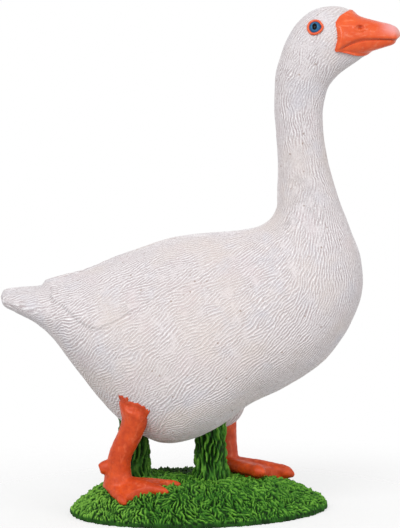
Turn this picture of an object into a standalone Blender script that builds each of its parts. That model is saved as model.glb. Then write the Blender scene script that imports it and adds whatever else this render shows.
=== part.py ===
"""A standing white goose on a grassy mound, cast in one piece and painted.

The goose looks along +X, its right side faces -Y, and the mound rests on z = 0.
Run it with: blender --background --python part.py
"""

import math

import bmesh
import bpy
from mathutils import Matrix, Vector

MM = 0.001  # every size below is in millimetres

# Grassy mound
BASE_LENGTH = 43.8  # long axis of the oval
BASE_WIDTH = 32.0  # short axis of the oval
BASE_TURN = 18.0  # degrees from the goose's line of sight to the long axis
BASE_HEIGHT = 5.6  # top of the mound under the middle of the body
BASE_EDGE = 0.9  # upright edge that meets the floor
MOUND_TOP = 0.45  # share of the oval that stays nearly level
MOUND_FALL = 0.04  # drop of the top for each millimetre forward
BLADE_RELIEF = 0.5  # height of the carved grass blades
BLADE_ROWS = 40  # grass blades round the mound
BLADE_START = 3.0  # how fast they deepen away from the middle
BLADE_END = 7.0  # how fast they fade towards the rim

# Body, from the tail tip to the breast
BODY_LENGTH = 60.8
BODY_DEPTH = 36.3  # belly to the foot of the neck
BODY_WIDTH = 29.0
BELLY_HEIGHT = 6.1  # belly above the mound
TAIL_REACH = 33.6  # tail tip behind the middle of the mound
WING_RELIEF = 1.2  # how far a folded wing stands proud near its tip
WING_THICKNESS = 2.2  # wing shell, most of it sunk in the body
THIGH_LENGTH = 13.0  # feathered bulge over the front leg
THIGH_BACK = 3.0  # middle of the bulge behind the front ankle

# Neck and head
NECK_LENGTH = 24.0  # foot of the neck to the throat
NECK_DEPTH = 8.0  # nape to throat where it is slimmest
NECK_WIDTH = 7.8
HEAD_LENGTH = 15.6  # nape to the end of the chin feathers
HEAD_HEIGHT = 13.0  # throat to crown
HEAD_WIDTH = 8.6
EYE_DIAMETER = 2.2
EYELID_LENGTH = 3.0
EYELID_HEIGHT = 2.7
EYELID_THICKNESS = 1.4
EYE_BULGE = 0.8  # eyeball proud of the cheek
EYE_STATION = 24.4  # where along the skin the search for the eye's place starts
EYE_ANGLE = 54.0  # and how far round from the crown, in degrees
BILL_LENGTH = 10.8
BILL_HEIGHT = 7.4
BILL_WIDTH = 8.4
NOSTRIL_LENGTH = 1.1

# Legs and webbed feet
LEG_SPACING = 14.6  # between the ankles, side to side
LEG_DIAMETER = 3.3  # at the middle of the shank
THIGH_DIAMETER = 6.2  # where the shank flares into the feathers
STRIDE = 18.3  # between the ankles, back to front
REAR_ANKLE = 13.9  # rear ankle behind the middle of the mound
REAR_LEG_LEAN = 3.2  # the thigh ahead of the ankle
FRONT_LEG_LEAN = 0.3  # the thigh behind the ankle
LONGEST_TOE = 12.6
HIND_TOE = 2.2
HEEL_BACK = 1.2  # root of the toes behind the ankle
TOE_DIAMETER = 1.9
WEB_THICKNESS = 1.1

# Grass clumps that carry the belly
REAR_CLUMP_WIDTH = 5.4
FRONT_CLUMP_WIDTH = 5.0
CLUMP_TO_LEG = 2.85  # clear space from a clump to the shanks beside it
CLUMP_SIDE = 0.6  # middle of the clumps to the left of the goose's middle
CLUMP_GAP = 7.4  # clear space between the two clumps
GAP_FRONT = 0.9  # front end of that space, behind the middle of the mound
CLUMP_SINK = 2.0  # how far a clump runs into the mound
CLUMP_RISE = 7.0  # how far it runs up past the lowest point of the belly

# Fineness of the facets
SKIN_RINGS = 56
SKIN_SIDES = 26
MOUND_SPOKES = 160
MOUND_RINGS = 7

# Outline of the body in shares of its length and depth, back point then belly
# point, and the half width as a share of the body's, from tail to breast.
BODY_STATIONS = (
    (0.003, 0.691, 0.003, 0.667, 0.12),
    (0.012, 0.708, 0.012, 0.642, 0.24),
    (0.044, 0.719, 0.041, 0.614, 0.36),
    (0.100, 0.727, 0.100, 0.562, 0.47),
    (0.166, 0.752, 0.151, 0.485, 0.60),
    (0.255, 0.804, 0.217, 0.336, 0.75),
    (0.349, 0.873, 0.278, 0.204, 0.87),
    (0.456, 0.937, 0.359, 0.074, 0.955),
    (0.566, 0.970, 0.464, 0.000, 1.00),
    (0.651, 0.983, 0.581, 0.055, 1.00),
    (0.707, 1.000, 0.691, 0.182, 0.98),
    (0.737, 1.025, 0.801, 0.275, 0.925),
    (0.755, 1.058, 0.898, 0.388, 0.84),
    (0.765, 1.096, 0.964, 0.543, 0.73),
    (0.766, 1.138, 0.998, 0.697, 0.61),
)

# Neck: nape offset and height, height of the front, then how much of the
# breast is left in the front outline and in the width.
NECK_STATIONS = (
    (0.0625, 0.283, -0.221, 0.955, 0.330),
    (0.0625, 0.388, -0.004, 0.687, 0.198),
    (0.0500, 0.513, 0.213, 0.388, 0.100),
    (0.0250, 0.654, 0.429, 0.164, 0.038),
    (0.0000, 0.808, 0.667, 0.015, 0.005),
    (0.0000, 0.946, 0.833, 0.000, 0.000),
)

# Head, in shares of its length and height: nape and crown point, then throat
# and chin point, and the half width as a share of the head's.
HEAD_STATIONS = (
    (0.013, 0.146, 0.571, -0.023, 0.94),
    (0.058, 0.362, 0.673, 0.123, 0.99),
    (0.135, 0.592, 0.776, 0.215, 1.00),
    (0.244, 0.792, 0.853, 0.277, 0.98),
    (0.404, 0.946, 0.917, 0.331, 0.87),
    (0.596, 1.000, 0.968, 0.377, 0.69),
    (0.744, 0.977, 1.000, 0.454, 0.50),
    (0.840, 0.900, 0.987, 0.554, 0.28),
)

# Upper and lower bill, in shares of the bill's length and height: place, outer
# edge, line of the mouth, and the half width as a share of the bill's.
UPPER_BILL_STATIONS = (
    (0.000, 0.944, 0.150, 0.98),
    (0.139, 1.000, 0.240, 1.00),
    (0.250, 1.000, 0.306, 0.95),
    (0.370, 0.917, 0.361, 0.86),
    (0.528, 0.847, 0.375, 0.76),
    (0.676, 0.792, 0.375, 0.67),
    (0.833, 0.736, 0.375, 0.56),
    (0.926, 0.653, 0.389, 0.41),
    (0.990, 0.545, 0.444, 0.18),
)
LOWER_BILL_STATIONS = (
    (0.005, 0.110, 0.150, 0.92),
    (0.139, 0.042, 0.240, 0.93),
    (0.270, 0.000, 0.310, 0.87),
    (0.435, 0.042, 0.360, 0.77),
    (0.593, 0.139, 0.375, 0.66),
    (0.741, 0.208, 0.375, 0.54),
    (0.861, 0.278, 0.380, 0.39),
    (0.917, 0.333, 0.390, 0.22),
)

# Folded wing at places along the body, in stations: how far round from the
# back its lower edge lies, in degrees, then its relief at the back and at the
# edge as shares of the tip's.
WING_STATIONS = (
    (3.2, 30.0, 0.83, 0.75),
    (3.6, 53.0, 1.00, 0.67),
    (4.2, 70.0, 0.92, 0.50),
    (4.8, 83.0, 0.67, 0.50),
    (5.5, 86.0, 0.62, 0.54),
    (6.1, 77.0, 0.33, 0.46),
    (6.8, 64.0, 0.29, 0.42),
    (7.7, 54.0, 0.29, 0.33),
    (8.6, 42.0, 0.08, 0.15),
    (9.6, 26.0, -0.10, -0.10),
)
WING_TOP_ANGLE = 7.0  # the two wings stop this far short of the spine

# Toes of the two feet: degrees outward from straight ahead, then the reach as
# a share of the longest toe's. They run from the inner toe to the outer one.
REAR_TOES = ((-17, 0.98), (3, 0.81), (59, 0.52))
FRONT_TOES = ((-24, 0.66), (1, 1.00), (27, 0.84))

# Places that several pieces share
BELLY_Z = BASE_HEIGHT + BELLY_HEIGHT
SHOULDER_Z = BELLY_Z + BODY_DEPTH
THROAT_Z = SHOULDER_Z + NECK_LENGTH
TAIL_X = -TAIL_REACH
BREAST_X = TAIL_X + BODY_LENGTH
NAPE_X = TAIL_X + 0.758 * BODY_LENGTH
BILL_X = NAPE_X + 0.647 * HEAD_LENGTH
BILL_Z = THROAT_Z + 0.35 * HEAD_HEIGHT
EYE_X = NAPE_X + 0.41 * HEAD_LENGTH
EYE_Z = THROAT_Z + 0.738 * HEAD_HEIGHT
FRONT_ANKLE_X = STRIDE - REAR_ANKLE
CLUMP_DEPTH = LEG_SPACING - LEG_DIAMETER - 2 * CLUMP_TO_LEG


def clear_scene():
    for old in list(bpy.data.objects):
        bpy.data.objects.remove(old, do_unlink=True)


def new_collection(name):
    made = bpy.data.collections.new(name)
    bpy.context.scene.collection.children.link(made)
    return made


def paint(name, colour, roughness):
    material = bpy.data.materials.new(name)
    material.use_nodes = True
    shader = material.node_tree.nodes["Principled BSDF"]
    shader.inputs["Base Color"].default_value = (*colour, 1.0)
    shader.inputs["Roughness"].default_value = roughness
    shader.inputs["Metallic"].default_value = 0.0
    return material


def add_object(name, mesh, collection, material):
    mesh.materials.clear()
    mesh.materials.append(material)
    mesh.shade_smooth()
    made = bpy.data.objects.new(name, mesh)
    collection.objects.link(made)
    return made


def hide_helper(helper):
    helper.hide_render = True
    helper.display_type = "WIRE"
    return helper


def smooth_value(knots, values, at):
    """Cubic curve through hand-placed values, for any place between the first and last knot."""
    last = len(knots) - 1
    i = 0
    while i < last - 1 and at > knots[i + 1]:
        i += 1
    span = knots[i + 1] - knots[i]

    def slope(k):
        if k == 0 or k == last:
            a, b = (0, 1) if k == 0 else (last - 1, last)
            return (values[b] - values[a]) / (knots[b] - knots[a])
        before = (values[k] - values[k - 1]) / (knots[k] - knots[k - 1])
        after = (values[k + 1] - values[k]) / (knots[k + 1] - knots[k])
        left = knots[k] - knots[k - 1]
        right = knots[k + 1] - knots[k]
        return (before * right + after * left) / (left + right)

    t = (at - knots[i]) / span
    h1 = (1 + 2 * t) * (1 - t) ** 2
    h2 = t * (1 - t) ** 2
    h3 = t * t * (3 - 2 * t)
    h4 = t * t * (t - 1)
    return h1 * values[i] + h2 * span * slope(i) + h3 * values[i + 1] + h4 * span * slope(i + 1)


def skin_stations():
    """Back x and z, belly x and z and half width of every section from tail tip to face."""
    rows = []
    half = BODY_WIDTH / 2
    for back_x, back_z, belly_x, belly_z, width in BODY_STATIONS:
        rows.append(
            (
                TAIL_X + back_x * BODY_LENGTH,
                BELLY_Z + back_z * BODY_DEPTH,
                TAIL_X + belly_x * BODY_LENGTH,
                BELLY_Z + belly_z * BODY_DEPTH,
                width * half,
            )
        )
    neck_front = NAPE_X + NECK_DEPTH
    for nape, nape_z, front_z, breast_share, width_share in NECK_STATIONS:
        rows.append(
            (
                NAPE_X + nape * NECK_DEPTH,
                SHOULDER_Z + nape_z * NECK_LENGTH,
                neck_front + breast_share * (BREAST_X - neck_front),
                SHOULDER_Z + front_z * NECK_LENGTH,
                NECK_WIDTH / 2 + width_share * (BODY_WIDTH - NECK_WIDTH) / 2,
            )
        )
    for crown_x, crown_z, chin_x, chin_z, width in HEAD_STATIONS:
        rows.append(
            (
                NAPE_X + crown_x * HEAD_LENGTH,
                THROAT_Z + crown_z * HEAD_HEIGHT,
                NAPE_X + chin_x * HEAD_LENGTH,
                THROAT_Z + chin_z * HEAD_HEIGHT,
                width * HEAD_WIDTH / 2,
            )
        )
    return rows


class Skin:
    """The feathered surface as a loft: a place along it, in stations, and an angle round it."""

    def __init__(self):
        self.rows = skin_stations()
        self.columns = list(zip(*self.rows))
        self.knots = [0.0]
        for a, b in zip(self.rows, self.rows[1:]):
            back = math.hypot(b[0] - a[0], b[1] - a[1])
            belly = math.hypot(b[2] - a[2], b[3] - a[3])
            self.knots.append(self.knots[-1] + (back + belly) / 2)

    def knot(self, station):
        i = min(int(station), len(self.knots) - 2)
        return self.knots[i] + (station - i) * (self.knots[i + 1] - self.knots[i])

    def point_at(self, knot, turn):
        back_x, back_z, belly_x, belly_z, half = (
            smooth_value(self.knots, column, knot) for column in self.columns
        )
        down = (1 - math.cos(turn)) / 2
        # The body is widest below its middle, the head above it.
        sag = 0.12 - 0.26 * (knot / self.knots[-1]) ** 2
        low_slung = 1 - sag * math.cos(turn)
        return Vector(
            (
                back_x + (belly_x - back_x) * down,
                half * math.sin(turn) * low_slung,
                back_z + (belly_z - back_z) * down,
            )
        )

    def normal_at(self, knot, turn):
        step = 0.02
        along = self.point_at(min(knot + step, self.knots[-1]), turn) - self.point_at(
            max(knot - step, 0.0), turn
        )
        around = self.point_at(knot, turn + step) - self.point_at(knot, turn - step)
        return along.cross(around).normalized()

    def find(self, x, z, side, station, turn):
        """Place on one side of the skin that lies at x and z, searched from a first guess."""
        knot = self.knot(station)
        turn *= side
        for _ in range(12):
            here = self.point_at(knot, turn)
            by_knot = (self.point_at(knot + 0.01, turn) - here) / 0.01
            by_turn = (self.point_at(knot, turn + 0.001) - here) / 0.001
            whole = by_knot.x * by_turn.z - by_knot.z * by_turn.x
            off_x = x - here.x
            off_z = z - here.z
            knot += (off_x * by_turn.z - off_z * by_turn.x) / whole
            turn += (off_z * by_knot.x - off_x * by_knot.z) / whole
        return knot, turn


def loft(name, rings, collection, material):
    """Closed skin over rings of points, each end closed by a fan to its middle."""
    shape = bmesh.new()
    loops = [[shape.verts.new(point * MM) for point in ring] for ring in rings]
    sides = len(rings[0])
    for lower, upper in zip(loops, loops[1:]):
        for i in range(sides):
            j = (i + 1) % sides
            shape.faces.new((lower[i], lower[j], upper[j], upper[i]))
    for loop, ring, flip in ((loops[0], rings[0], True), (loops[-1], rings[-1], False)):
        middle = shape.verts.new(sum(ring, Vector()) / sides * MM)
        for i in range(sides):
            j = (i + 1) % sides
            corners = (loop[j], loop[i], middle) if flip else (loop[i], loop[j], middle)
            shape.faces.new(corners)
    bmesh.ops.recalc_face_normals(shape, faces=shape.faces)
    mesh = bpy.data.meshes.new(name)
    shape.to_mesh(mesh)
    shape.free()
    return add_object(name, mesh, collection, material)


def tube(name, points, diameters, collection, material, sides=10):
    """Round limb along a smooth curve, with its own diameter at each point."""
    curve = bpy.data.curves.new(name, "CURVE")
    curve.dimensions = "3D"
    curve.bevel_depth = MM / 2
    curve.bevel_resolution = sides // 2 - 2
    curve.use_fill_caps = True
    curve.resolution_u = 3
    spline = curve.splines.new("BEZIER")
    spline.bezier_points.add(len(points) - 1)
    for knot, point, diameter in zip(spline.bezier_points, points, diameters):
        knot.co = point * MM
        knot.radius = diameter
        knot.handle_left_type = "AUTO"
        knot.handle_right_type = "AUTO"
    drawn = bpy.data.objects.new(name + "_line", curve)
    bpy.context.scene.collection.objects.link(drawn)
    bpy.context.view_layer.update()
    graph = bpy.context.evaluated_depsgraph_get()
    mesh = bpy.data.meshes.new_from_object(drawn.evaluated_get(graph))
    bpy.data.objects.remove(drawn, do_unlink=True)
    shape = bmesh.new()
    shape.from_mesh(mesh)
    bmesh.ops.remove_doubles(shape, verts=shape.verts, dist=0.01 * MM)
    bmesh.ops.recalc_face_normals(shape, faces=shape.faces)
    shape.to_mesh(mesh)
    shape.free()
    return add_object(name, mesh, collection, material)


def ball(name, centre, diameters, collection, material, facing=Vector((0, 0, 1)), segments=14):
    """Ball or egg whose third diameter lies along the way it faces."""
    bpy.ops.mesh.primitive_uv_sphere_add(segments=segments, ring_count=8, radius=0.5)
    made = bpy.context.object
    mesh = made.data
    bpy.data.objects.remove(made, do_unlink=True)
    size = Matrix.Diagonal((*(Vector(diameters) * MM), 1.0))
    turned = facing.to_track_quat("Z", "Y").to_matrix().to_4x4()
    mesh.transform(Matrix.Translation(centre * MM) @ turned @ size)
    return add_object(name, mesh, collection, material)


def mound_share(x, y):
    """0 at the middle of the oval mound, 1 on its outline."""
    turn = math.radians(BASE_TURN)
    along = x * math.cos(turn) + y * math.sin(turn)
    across = y * math.cos(turn) - x * math.sin(turn)
    return math.hypot(along / (BASE_LENGTH / 2), across / (BASE_WIDTH / 2))


def mound_height(x, y):
    """Height of the mound under the carved blades."""
    share = mound_share(x, y)
    top = BASE_HEIGHT - MOUND_FALL * x
    if share <= MOUND_TOP:
        return top
    slope = min((share - MOUND_TOP) / (1 - MOUND_TOP), 1.0)
    return BASE_EDGE + (top - BASE_EDGE) * (1 - slope**2.1)


def blade_height(angle, share):
    """Carved grass: wavy ridges that run down the slope and fade at the top and the rim."""
    depth = BLADE_RELIEF * min(1.0, BLADE_START * share) * min(1.0, BLADE_END * (1.03 - share))
    wave = 1.2 * math.sin(7 * angle + 9 * share) + 0.8 * math.sin(3 * angle - 7 * share)
    return depth * math.cos(BLADE_ROWS * angle + wave)


def clear_of_feet(x, y):
    """0 under a foot, where the mound isn't carved, and 1 away from it."""
    least = 1.0
    for side, ankle_x in ((-1, -REAR_ANKLE), (1, FRONT_ANKLE_X)):
        middle_x = ankle_x - HEEL_BACK + LONGEST_TOE / 2
        away = math.hypot(x - middle_x, y - side * LEG_SPACING / 2) / (LONGEST_TOE / 2)
        least = min(least, max(0.0, 5 * (away - 1.15)))
    return least


def make_mound(collection, material):
    turn = math.radians(BASE_TURN)
    shape = bmesh.new()
    rings = []
    for k in range(1, MOUND_RINGS + 1):
        share = (k / MOUND_RINGS) ** 0.85
        ring = []
        for i in range(MOUND_SPOKES):
            angle = 2 * math.pi * i / MOUND_SPOKES
            along = share * BASE_LENGTH / 2 * math.cos(angle)
            across = share * BASE_WIDTH / 2 * math.sin(angle)
            x = along * math.cos(turn) - across * math.sin(turn)
            y = along * math.sin(turn) + across * math.cos(turn)
            z = mound_height(x, y) + blade_height(angle, share) * clear_of_feet(x, y)
            ring.append(shape.verts.new(Vector((x, y, z)) * MM))
        rings.append(ring)
    foot = [shape.verts.new((v.co.x, v.co.y, 0.0)) for v in rings[-1]]
    rings.append(foot)
    for inner, outer in zip(rings, rings[1:]):
        for i in range(MOUND_SPOKES):
            j = (i + 1) % MOUND_SPOKES
            shape.faces.new((inner[i], outer[i], outer[j], inner[j]))
    shape.faces.new(reversed(foot))
    peak = shape.verts.new(Vector((0, 0, mound_height(0, 0))) * MM)
    for i in range(MOUND_SPOKES):
        j = (i + 1) % MOUND_SPOKES
        shape.faces.new((peak, rings[0][i], rings[0][j]))
    bmesh.ops.recalc_face_normals(shape, faces=shape.faces)
    mesh = bpy.data.meshes.new("mound")
    shape.to_mesh(mesh)
    shape.free()
    return add_object("mound", mesh, collection, material)


def make_skin(skin, collection, material):
    """Body, neck and head: one loft from the tail tip to the face under the bill."""
    rings = []
    for k in range(SKIN_RINGS):
        knot = skin.knots[-1] * k / (SKIN_RINGS - 1)
        turns = [2 * math.pi * (i + 0.5) / SKIN_SIDES for i in range(SKIN_SIDES)]
        rings.append([skin.point_at(knot, turn) for turn in turns])
    return loft("plumage", rings, collection, material)


def make_wing(skin, side, collection, material):
    """Folded wing: a shell that follows the flank, thickest at its tip over the tail."""
    stations, edges, at_back, at_edge = zip(*WING_STATIONS)
    steps = 22
    rows = 6
    shape = bmesh.new()
    grid = []
    for k in range(steps + 1):
        station = stations[0] + (stations[-1] - stations[0]) * (k / steps) ** 1.2
        edge = smooth_value(stations, edges, station)
        back_relief = smooth_value(stations, at_back, station)
        edge_relief = smooth_value(stations, at_edge, station)
        line = []
        for i in range(rows + 1):
            share = i / rows
            turn = side * math.radians(WING_TOP_ANGLE + (edge - WING_TOP_ANGLE) * share)
            relief = WING_RELIEF * (back_relief + (edge_relief - back_relief) * share)
            knot = skin.knot(station)
            out = skin.normal_at(knot, turn) * relief
            line.append(shape.verts.new((skin.point_at(knot, turn) + out) * MM))
        grid.append(line)
    for a, b in zip(grid, grid[1:]):
        for i in range(rows):
            corners = (a[i], a[i + 1], b[i + 1], b[i])
            shape.faces.new(reversed(corners) if side > 0 else corners)
    mesh = bpy.data.meshes.new("wing")
    shape.to_mesh(mesh)
    shape.free()
    wing = add_object("wing_left" if side > 0 else "wing_right", mesh, collection, material)
    shell = wing.modifiers.new("shell", "SOLIDIFY")
    shell.thickness = WING_THICKNESS * MM
    shell.offset = -1.0
    return wing


def make_bill_half(name, stations, collection, material):
    """Half of the bill: rounded away from the line of the mouth, flat where the halves meet."""
    sides = 14
    meeting = 0.05 * BILL_HEIGHT
    rings = []
    for share, edge, mouth, width in stations:
        x = BILL_X + share * BILL_LENGTH
        rise = (edge - mouth) * BILL_HEIGHT
        ring = []
        for i in range(sides):
            turn = 2 * math.pi * (i + 0.5) / sides
            up = math.cos(turn)
            squareness = 0.8 if rise > 0 else 0.5
            out = math.copysign(abs(math.sin(turn)) ** squareness, math.sin(turn))
            away = rise * up**0.9 if up > 0 else math.copysign(meeting, rise) * up
            z = BILL_Z + mouth * BILL_HEIGHT + away
            ring.append(Vector((x, width * BILL_WIDTH / 2 * out, z)))
        rings.append(ring)
    return loft(name, rings, collection, material)


def make_eye(skin, side, joined, rim_paint, iris_paint):
    knot, turn = skin.find(EYE_X, EYE_Z, side, EYE_STATION, math.radians(EYE_ANGLE))
    place = skin.point_at(knot, turn)
    out = skin.normal_at(knot, turn)
    rim_size = (EYELID_LENGTH, EYELID_HEIGHT, EYELID_THICKNESS)
    rim_place = place - out * EYELID_THICKNESS * 0.15
    eye_place = place + out * (EYE_BULGE - EYE_DIAMETER / 2)
    ball("eyelid", rim_place, rim_size, joined, rim_paint, out)
    ball("eyeball", eye_place, (EYE_DIAMETER,) * 3, joined, iris_paint, out)


def make_thigh(joined, material):
    """Feathered bulge where the front leg leaves the belly."""
    height = BELLY_Z + 0.183 * BODY_DEPTH
    centre = Vector((FRONT_ANKLE_X - THIGH_BACK, LEG_SPACING * 0.48, height))
    size = (THIGH_LENGTH, THIGH_LENGTH * 0.65, THIGH_LENGTH * 0.96)
    return ball("thigh", centre, size, joined, material)


def make_leg(side, ankle_x, lean, toes, joined, material):
    """Shank from the foot into the body, and the foot with its toes and web."""
    ankle_y = side * LEG_SPACING / 2
    ground = mound_height(ankle_x, ankle_y)
    rise = BELLY_Z + 0.27 * BODY_DEPTH - ground
    shank = []
    for up, forward, outward in (
        (0.02, -0.18, 0.98),
        (0.20, 0.00, 1.00),
        (0.45, 0.28, 1.08),
        (0.72, 0.66, 1.20),
        (1.00, 1.00, 1.17),
    ):
        place = Vector((ankle_x + forward * lean, ankle_y * outward, ground + up * rise))
        shank.append(place)
    thick = (
        LEG_DIAMETER * 1.45,
        LEG_DIAMETER * 1.18,
        LEG_DIAMETER * 0.95,
        (LEG_DIAMETER + THIGH_DIAMETER) * 0.50,
        THIGH_DIAMETER,
    )
    tube("shank", shank, thick, joined, material)
    heel = Vector((ankle_x - HEEL_BACK, ankle_y, 0))
    tips = []
    for outward, share in toes:
        heading = side * math.radians(outward)
        reach = Vector((math.cos(heading), math.sin(heading), 0)) * share * LONGEST_TOE
        path = []
        for part in (0.0, 0.35, 0.7, 1.0):
            point = heel + reach * part
            lift = TOE_DIAMETER * (0.75 - 0.65 * part)
            path.append(Vector((point.x, point.y, mound_height(point.x, point.y) + lift)))
        width = (TOE_DIAMETER * 1.35, TOE_DIAMETER, TOE_DIAMETER * 0.9, TOE_DIAMETER * 0.4)
        tube("toe", path, width, joined, material, 8)
        tips.append(heel + reach * 0.88)
    hind_start = Vector((ankle_x - HIND_TOE * 0.18, ankle_y, ground + 0.22 * rise))
    hind_end = hind_start + Vector((-1, side * 0.18, -0.14)) * HIND_TOE
    hind_mid = (hind_start + hind_end) / 2 + Vector((0, 0, HIND_TOE * 0.11))
    hind_width = (TOE_DIAMETER, TOE_DIAMETER * 1.25, TOE_DIAMETER * 0.9)
    tube("hind_toe", (hind_start, hind_mid, hind_end), hind_width, joined, material, 8)
    make_web(heel, tips, joined, material)


def make_web(heel, tips, joined, material):
    """Skin between the toes, laid over the mound, with a hollow edge between two tips."""
    edge = []
    for a, b in zip(tips, tips[1:]):
        for share in (0.0, 0.25, 0.5, 0.75):
            point = a.lerp(b, share)
            hollow = 0.16 * math.sin(math.pi * share)
            edge.append(point.lerp(heel, hollow))
    edge.append(tips[-1])
    rows = []
    for share in (0.0, 0.5, 1.0):
        rows.append([heel.lerp(point, max(share, 0.06)) for point in edge])
    shape = bmesh.new()
    layers = []
    for top in (True, False):
        layer = []
        for row, height in zip(rows, (2.2, 1.3, 0.7)):
            line = []
            for point in row:
                lift = WEB_THICKNESS * (height if top else -0.6)
                z = mound_height(point.x, point.y) + lift
                line.append(shape.verts.new(Vector((point.x, point.y, z)) * MM))
            layer.append(line)
        layers.append(layer)
    upper, lower = layers
    count = len(edge)
    for layer in layers:
        for near, far in zip(layer, layer[1:]):
            for i in range(count - 1):
                shape.faces.new((near[i], near[i + 1], far[i + 1], far[i]))
    for i in range(count - 1):
        shape.faces.new((upper[0][i], upper[0][i + 1], lower[0][i + 1], lower[0][i]))
        shape.faces.new((upper[-1][i], upper[-1][i + 1], lower[-1][i + 1], lower[-1][i]))
    for i in (0, count - 1):
        for k in range(len(rows) - 1):
            shape.faces.new((upper[k][i], upper[k + 1][i], lower[k + 1][i], lower[k][i]))
    bmesh.ops.recalc_face_normals(shape, faces=shape.faces)
    mesh = bpy.data.meshes.new("web")
    shape.to_mesh(mesh)
    shape.free()
    return add_object("web", mesh, joined, material)


def make_clump(name, middle_x, middle_y, width, joined, material):
    """Bundle of upright grass blades between the mound and the belly, wider at its foot."""
    bottom = mound_height(middle_x, middle_y) - CLUMP_SINK
    height = BELLY_Z + CLUMP_RISE - bottom
    blades = 8
    thick = 0.42 * width
    for i in range(blades):
        angle = 2 * math.pi * (i + 0.3) / blades
        out_x = (width - thick) / 2 * math.cos(angle)
        out_y = (CLUMP_DEPTH - thick) / 2 * math.sin(angle)
        sway = 0.10 * width * math.sin(5 * angle + middle_x)
        path = []
        for up, flare in ((0.0, 1.5), (0.2, 1.2), (0.38, 1.0), (0.6, 0.95), (1.0, 1.0)):
            x = middle_x + out_x * flare + sway * math.sin(6 * up)
            y = middle_y + out_y * flare
            path.append(Vector((x, y, bottom + height * up)))
        blade_widths = (thick * 1.3, thick * 1.15, thick, thick * 0.92, thick)
        tube(name, path, blade_widths, joined, material, 6)
    core = (Vector((middle_x, middle_y, bottom)), Vector((middle_x, middle_y, bottom + height)))
    tube(name, core, (width * 0.62,) * 2, joined, material, 8)


def make_nostril(side, cutters, material):
    x = BILL_X + 0.37 * BILL_LENGTH
    z = BILL_Z + 0.735 * BILL_HEIGHT
    y = side * 0.345 * BILL_WIDTH
    size = (NOSTRIL_LENGTH, NOSTRIL_LENGTH * 0.6, NOSTRIL_LENGTH)
    out = Vector((0, side, 0.9))
    hide_helper(ball("nostril", Vector((x, y, z)), size, cutters, material, out, 8))


def join_all(skin_object, joined, cutters):
    union = skin_object.modifiers.new("one casting", "BOOLEAN")
    union.operation = "UNION"
    union.operand_type = "COLLECTION"
    union.collection = joined
    union.solver = "EXACT"
    union.material_mode = "TRANSFER"
    cut = skin_object.modifiers.new("nostrils", "BOOLEAN")
    cut.operation = "DIFFERENCE"
    cut.operand_type = "COLLECTION"
    cut.collection = cutters
    cut.solver = "EXACT"
    cut.material_mode = "TRANSFER"


def centre_on_bounds(figurine, helpers):
    """Moves everything so that the middle of the figurine's box stands on the origin."""
    bpy.context.view_layer.update()
    graph = bpy.context.evaluated_depsgraph_get()
    mesh = figurine.evaluated_get(graph).to_mesh()
    xs = [v.co.x for v in mesh.vertices]
    ys = [v.co.y for v in mesh.vertices]
    shift = Vector((-(min(xs) + max(xs)) / 2, -(min(ys) + max(ys)) / 2, 0))
    figurine.evaluated_get(graph).to_mesh_clear()
    for piece in [figurine, *helpers]:
        piece.data.transform(Matrix.Translation(shift))


def main():
    clear_scene()
    part = new_collection("goose_figurine")
    joined = new_collection("joined_shapes")
    cutters = new_collection("cutters")
    white = paint("white_plumage", (0.82, 0.78, 0.78), 0.6)
    orange = paint("orange_bill_and_legs", (0.80, 0.12, 0.03), 0.45)
    green = paint("green_grass", (0.05, 0.16, 0.02), 0.6)
    blue = paint("blue_iris", (0.05, 0.17, 0.45), 0.3)

    skin = Skin()
    figurine = make_skin(skin, part, white)
    figurine.name = "goose_figurine"
    make_mound(joined, green)
    for side in (-1, 1):
        make_wing(skin, side, joined, white)
        make_eye(skin, side, joined, orange, blue)
        make_nostril(side, cutters, orange)
    make_bill_half("upper_bill", UPPER_BILL_STATIONS, joined, orange)
    make_bill_half("lower_bill", LOWER_BILL_STATIONS, joined, orange)
    make_thigh(joined, white)
    make_leg(-1, -REAR_ANKLE, REAR_LEG_LEAN, REAR_TOES, joined, orange)
    make_leg(1, FRONT_ANKLE_X, -FRONT_LEG_LEAN, FRONT_TOES, joined, orange)
    front_x = FRONT_CLUMP_WIDTH / 2 - GAP_FRONT
    rear_x = -GAP_FRONT - CLUMP_GAP - REAR_CLUMP_WIDTH / 2
    make_clump("front_clump", front_x, CLUMP_SIDE, FRONT_CLUMP_WIDTH, joined, green)
    make_clump("rear_clump", rear_x, CLUMP_SIDE, REAR_CLUMP_WIDTH, joined, green)
    for helper in joined.objects:
        hide_helper(helper)
    join_all(figurine, joined, cutters)
    centre_on_bounds(figurine, [*joined.objects, *cutters.objects])


main()
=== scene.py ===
import math

import bpy
import numpy as np
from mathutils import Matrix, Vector


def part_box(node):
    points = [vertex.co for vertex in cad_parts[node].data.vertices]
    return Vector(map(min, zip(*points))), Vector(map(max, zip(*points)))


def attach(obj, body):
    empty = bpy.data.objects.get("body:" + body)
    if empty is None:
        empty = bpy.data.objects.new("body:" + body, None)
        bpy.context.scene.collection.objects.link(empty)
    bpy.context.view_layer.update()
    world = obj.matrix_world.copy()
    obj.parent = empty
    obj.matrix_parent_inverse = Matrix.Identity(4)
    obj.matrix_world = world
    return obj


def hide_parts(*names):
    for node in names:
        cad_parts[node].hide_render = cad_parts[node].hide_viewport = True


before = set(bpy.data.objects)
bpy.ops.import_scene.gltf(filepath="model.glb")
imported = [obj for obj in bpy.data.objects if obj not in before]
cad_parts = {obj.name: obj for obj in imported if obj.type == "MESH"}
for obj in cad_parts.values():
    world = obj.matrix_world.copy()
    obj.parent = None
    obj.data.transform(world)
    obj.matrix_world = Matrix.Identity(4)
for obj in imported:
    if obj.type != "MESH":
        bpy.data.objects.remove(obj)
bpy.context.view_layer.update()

nodeLow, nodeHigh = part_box("goose_figurine")
mm = 0.001

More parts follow.
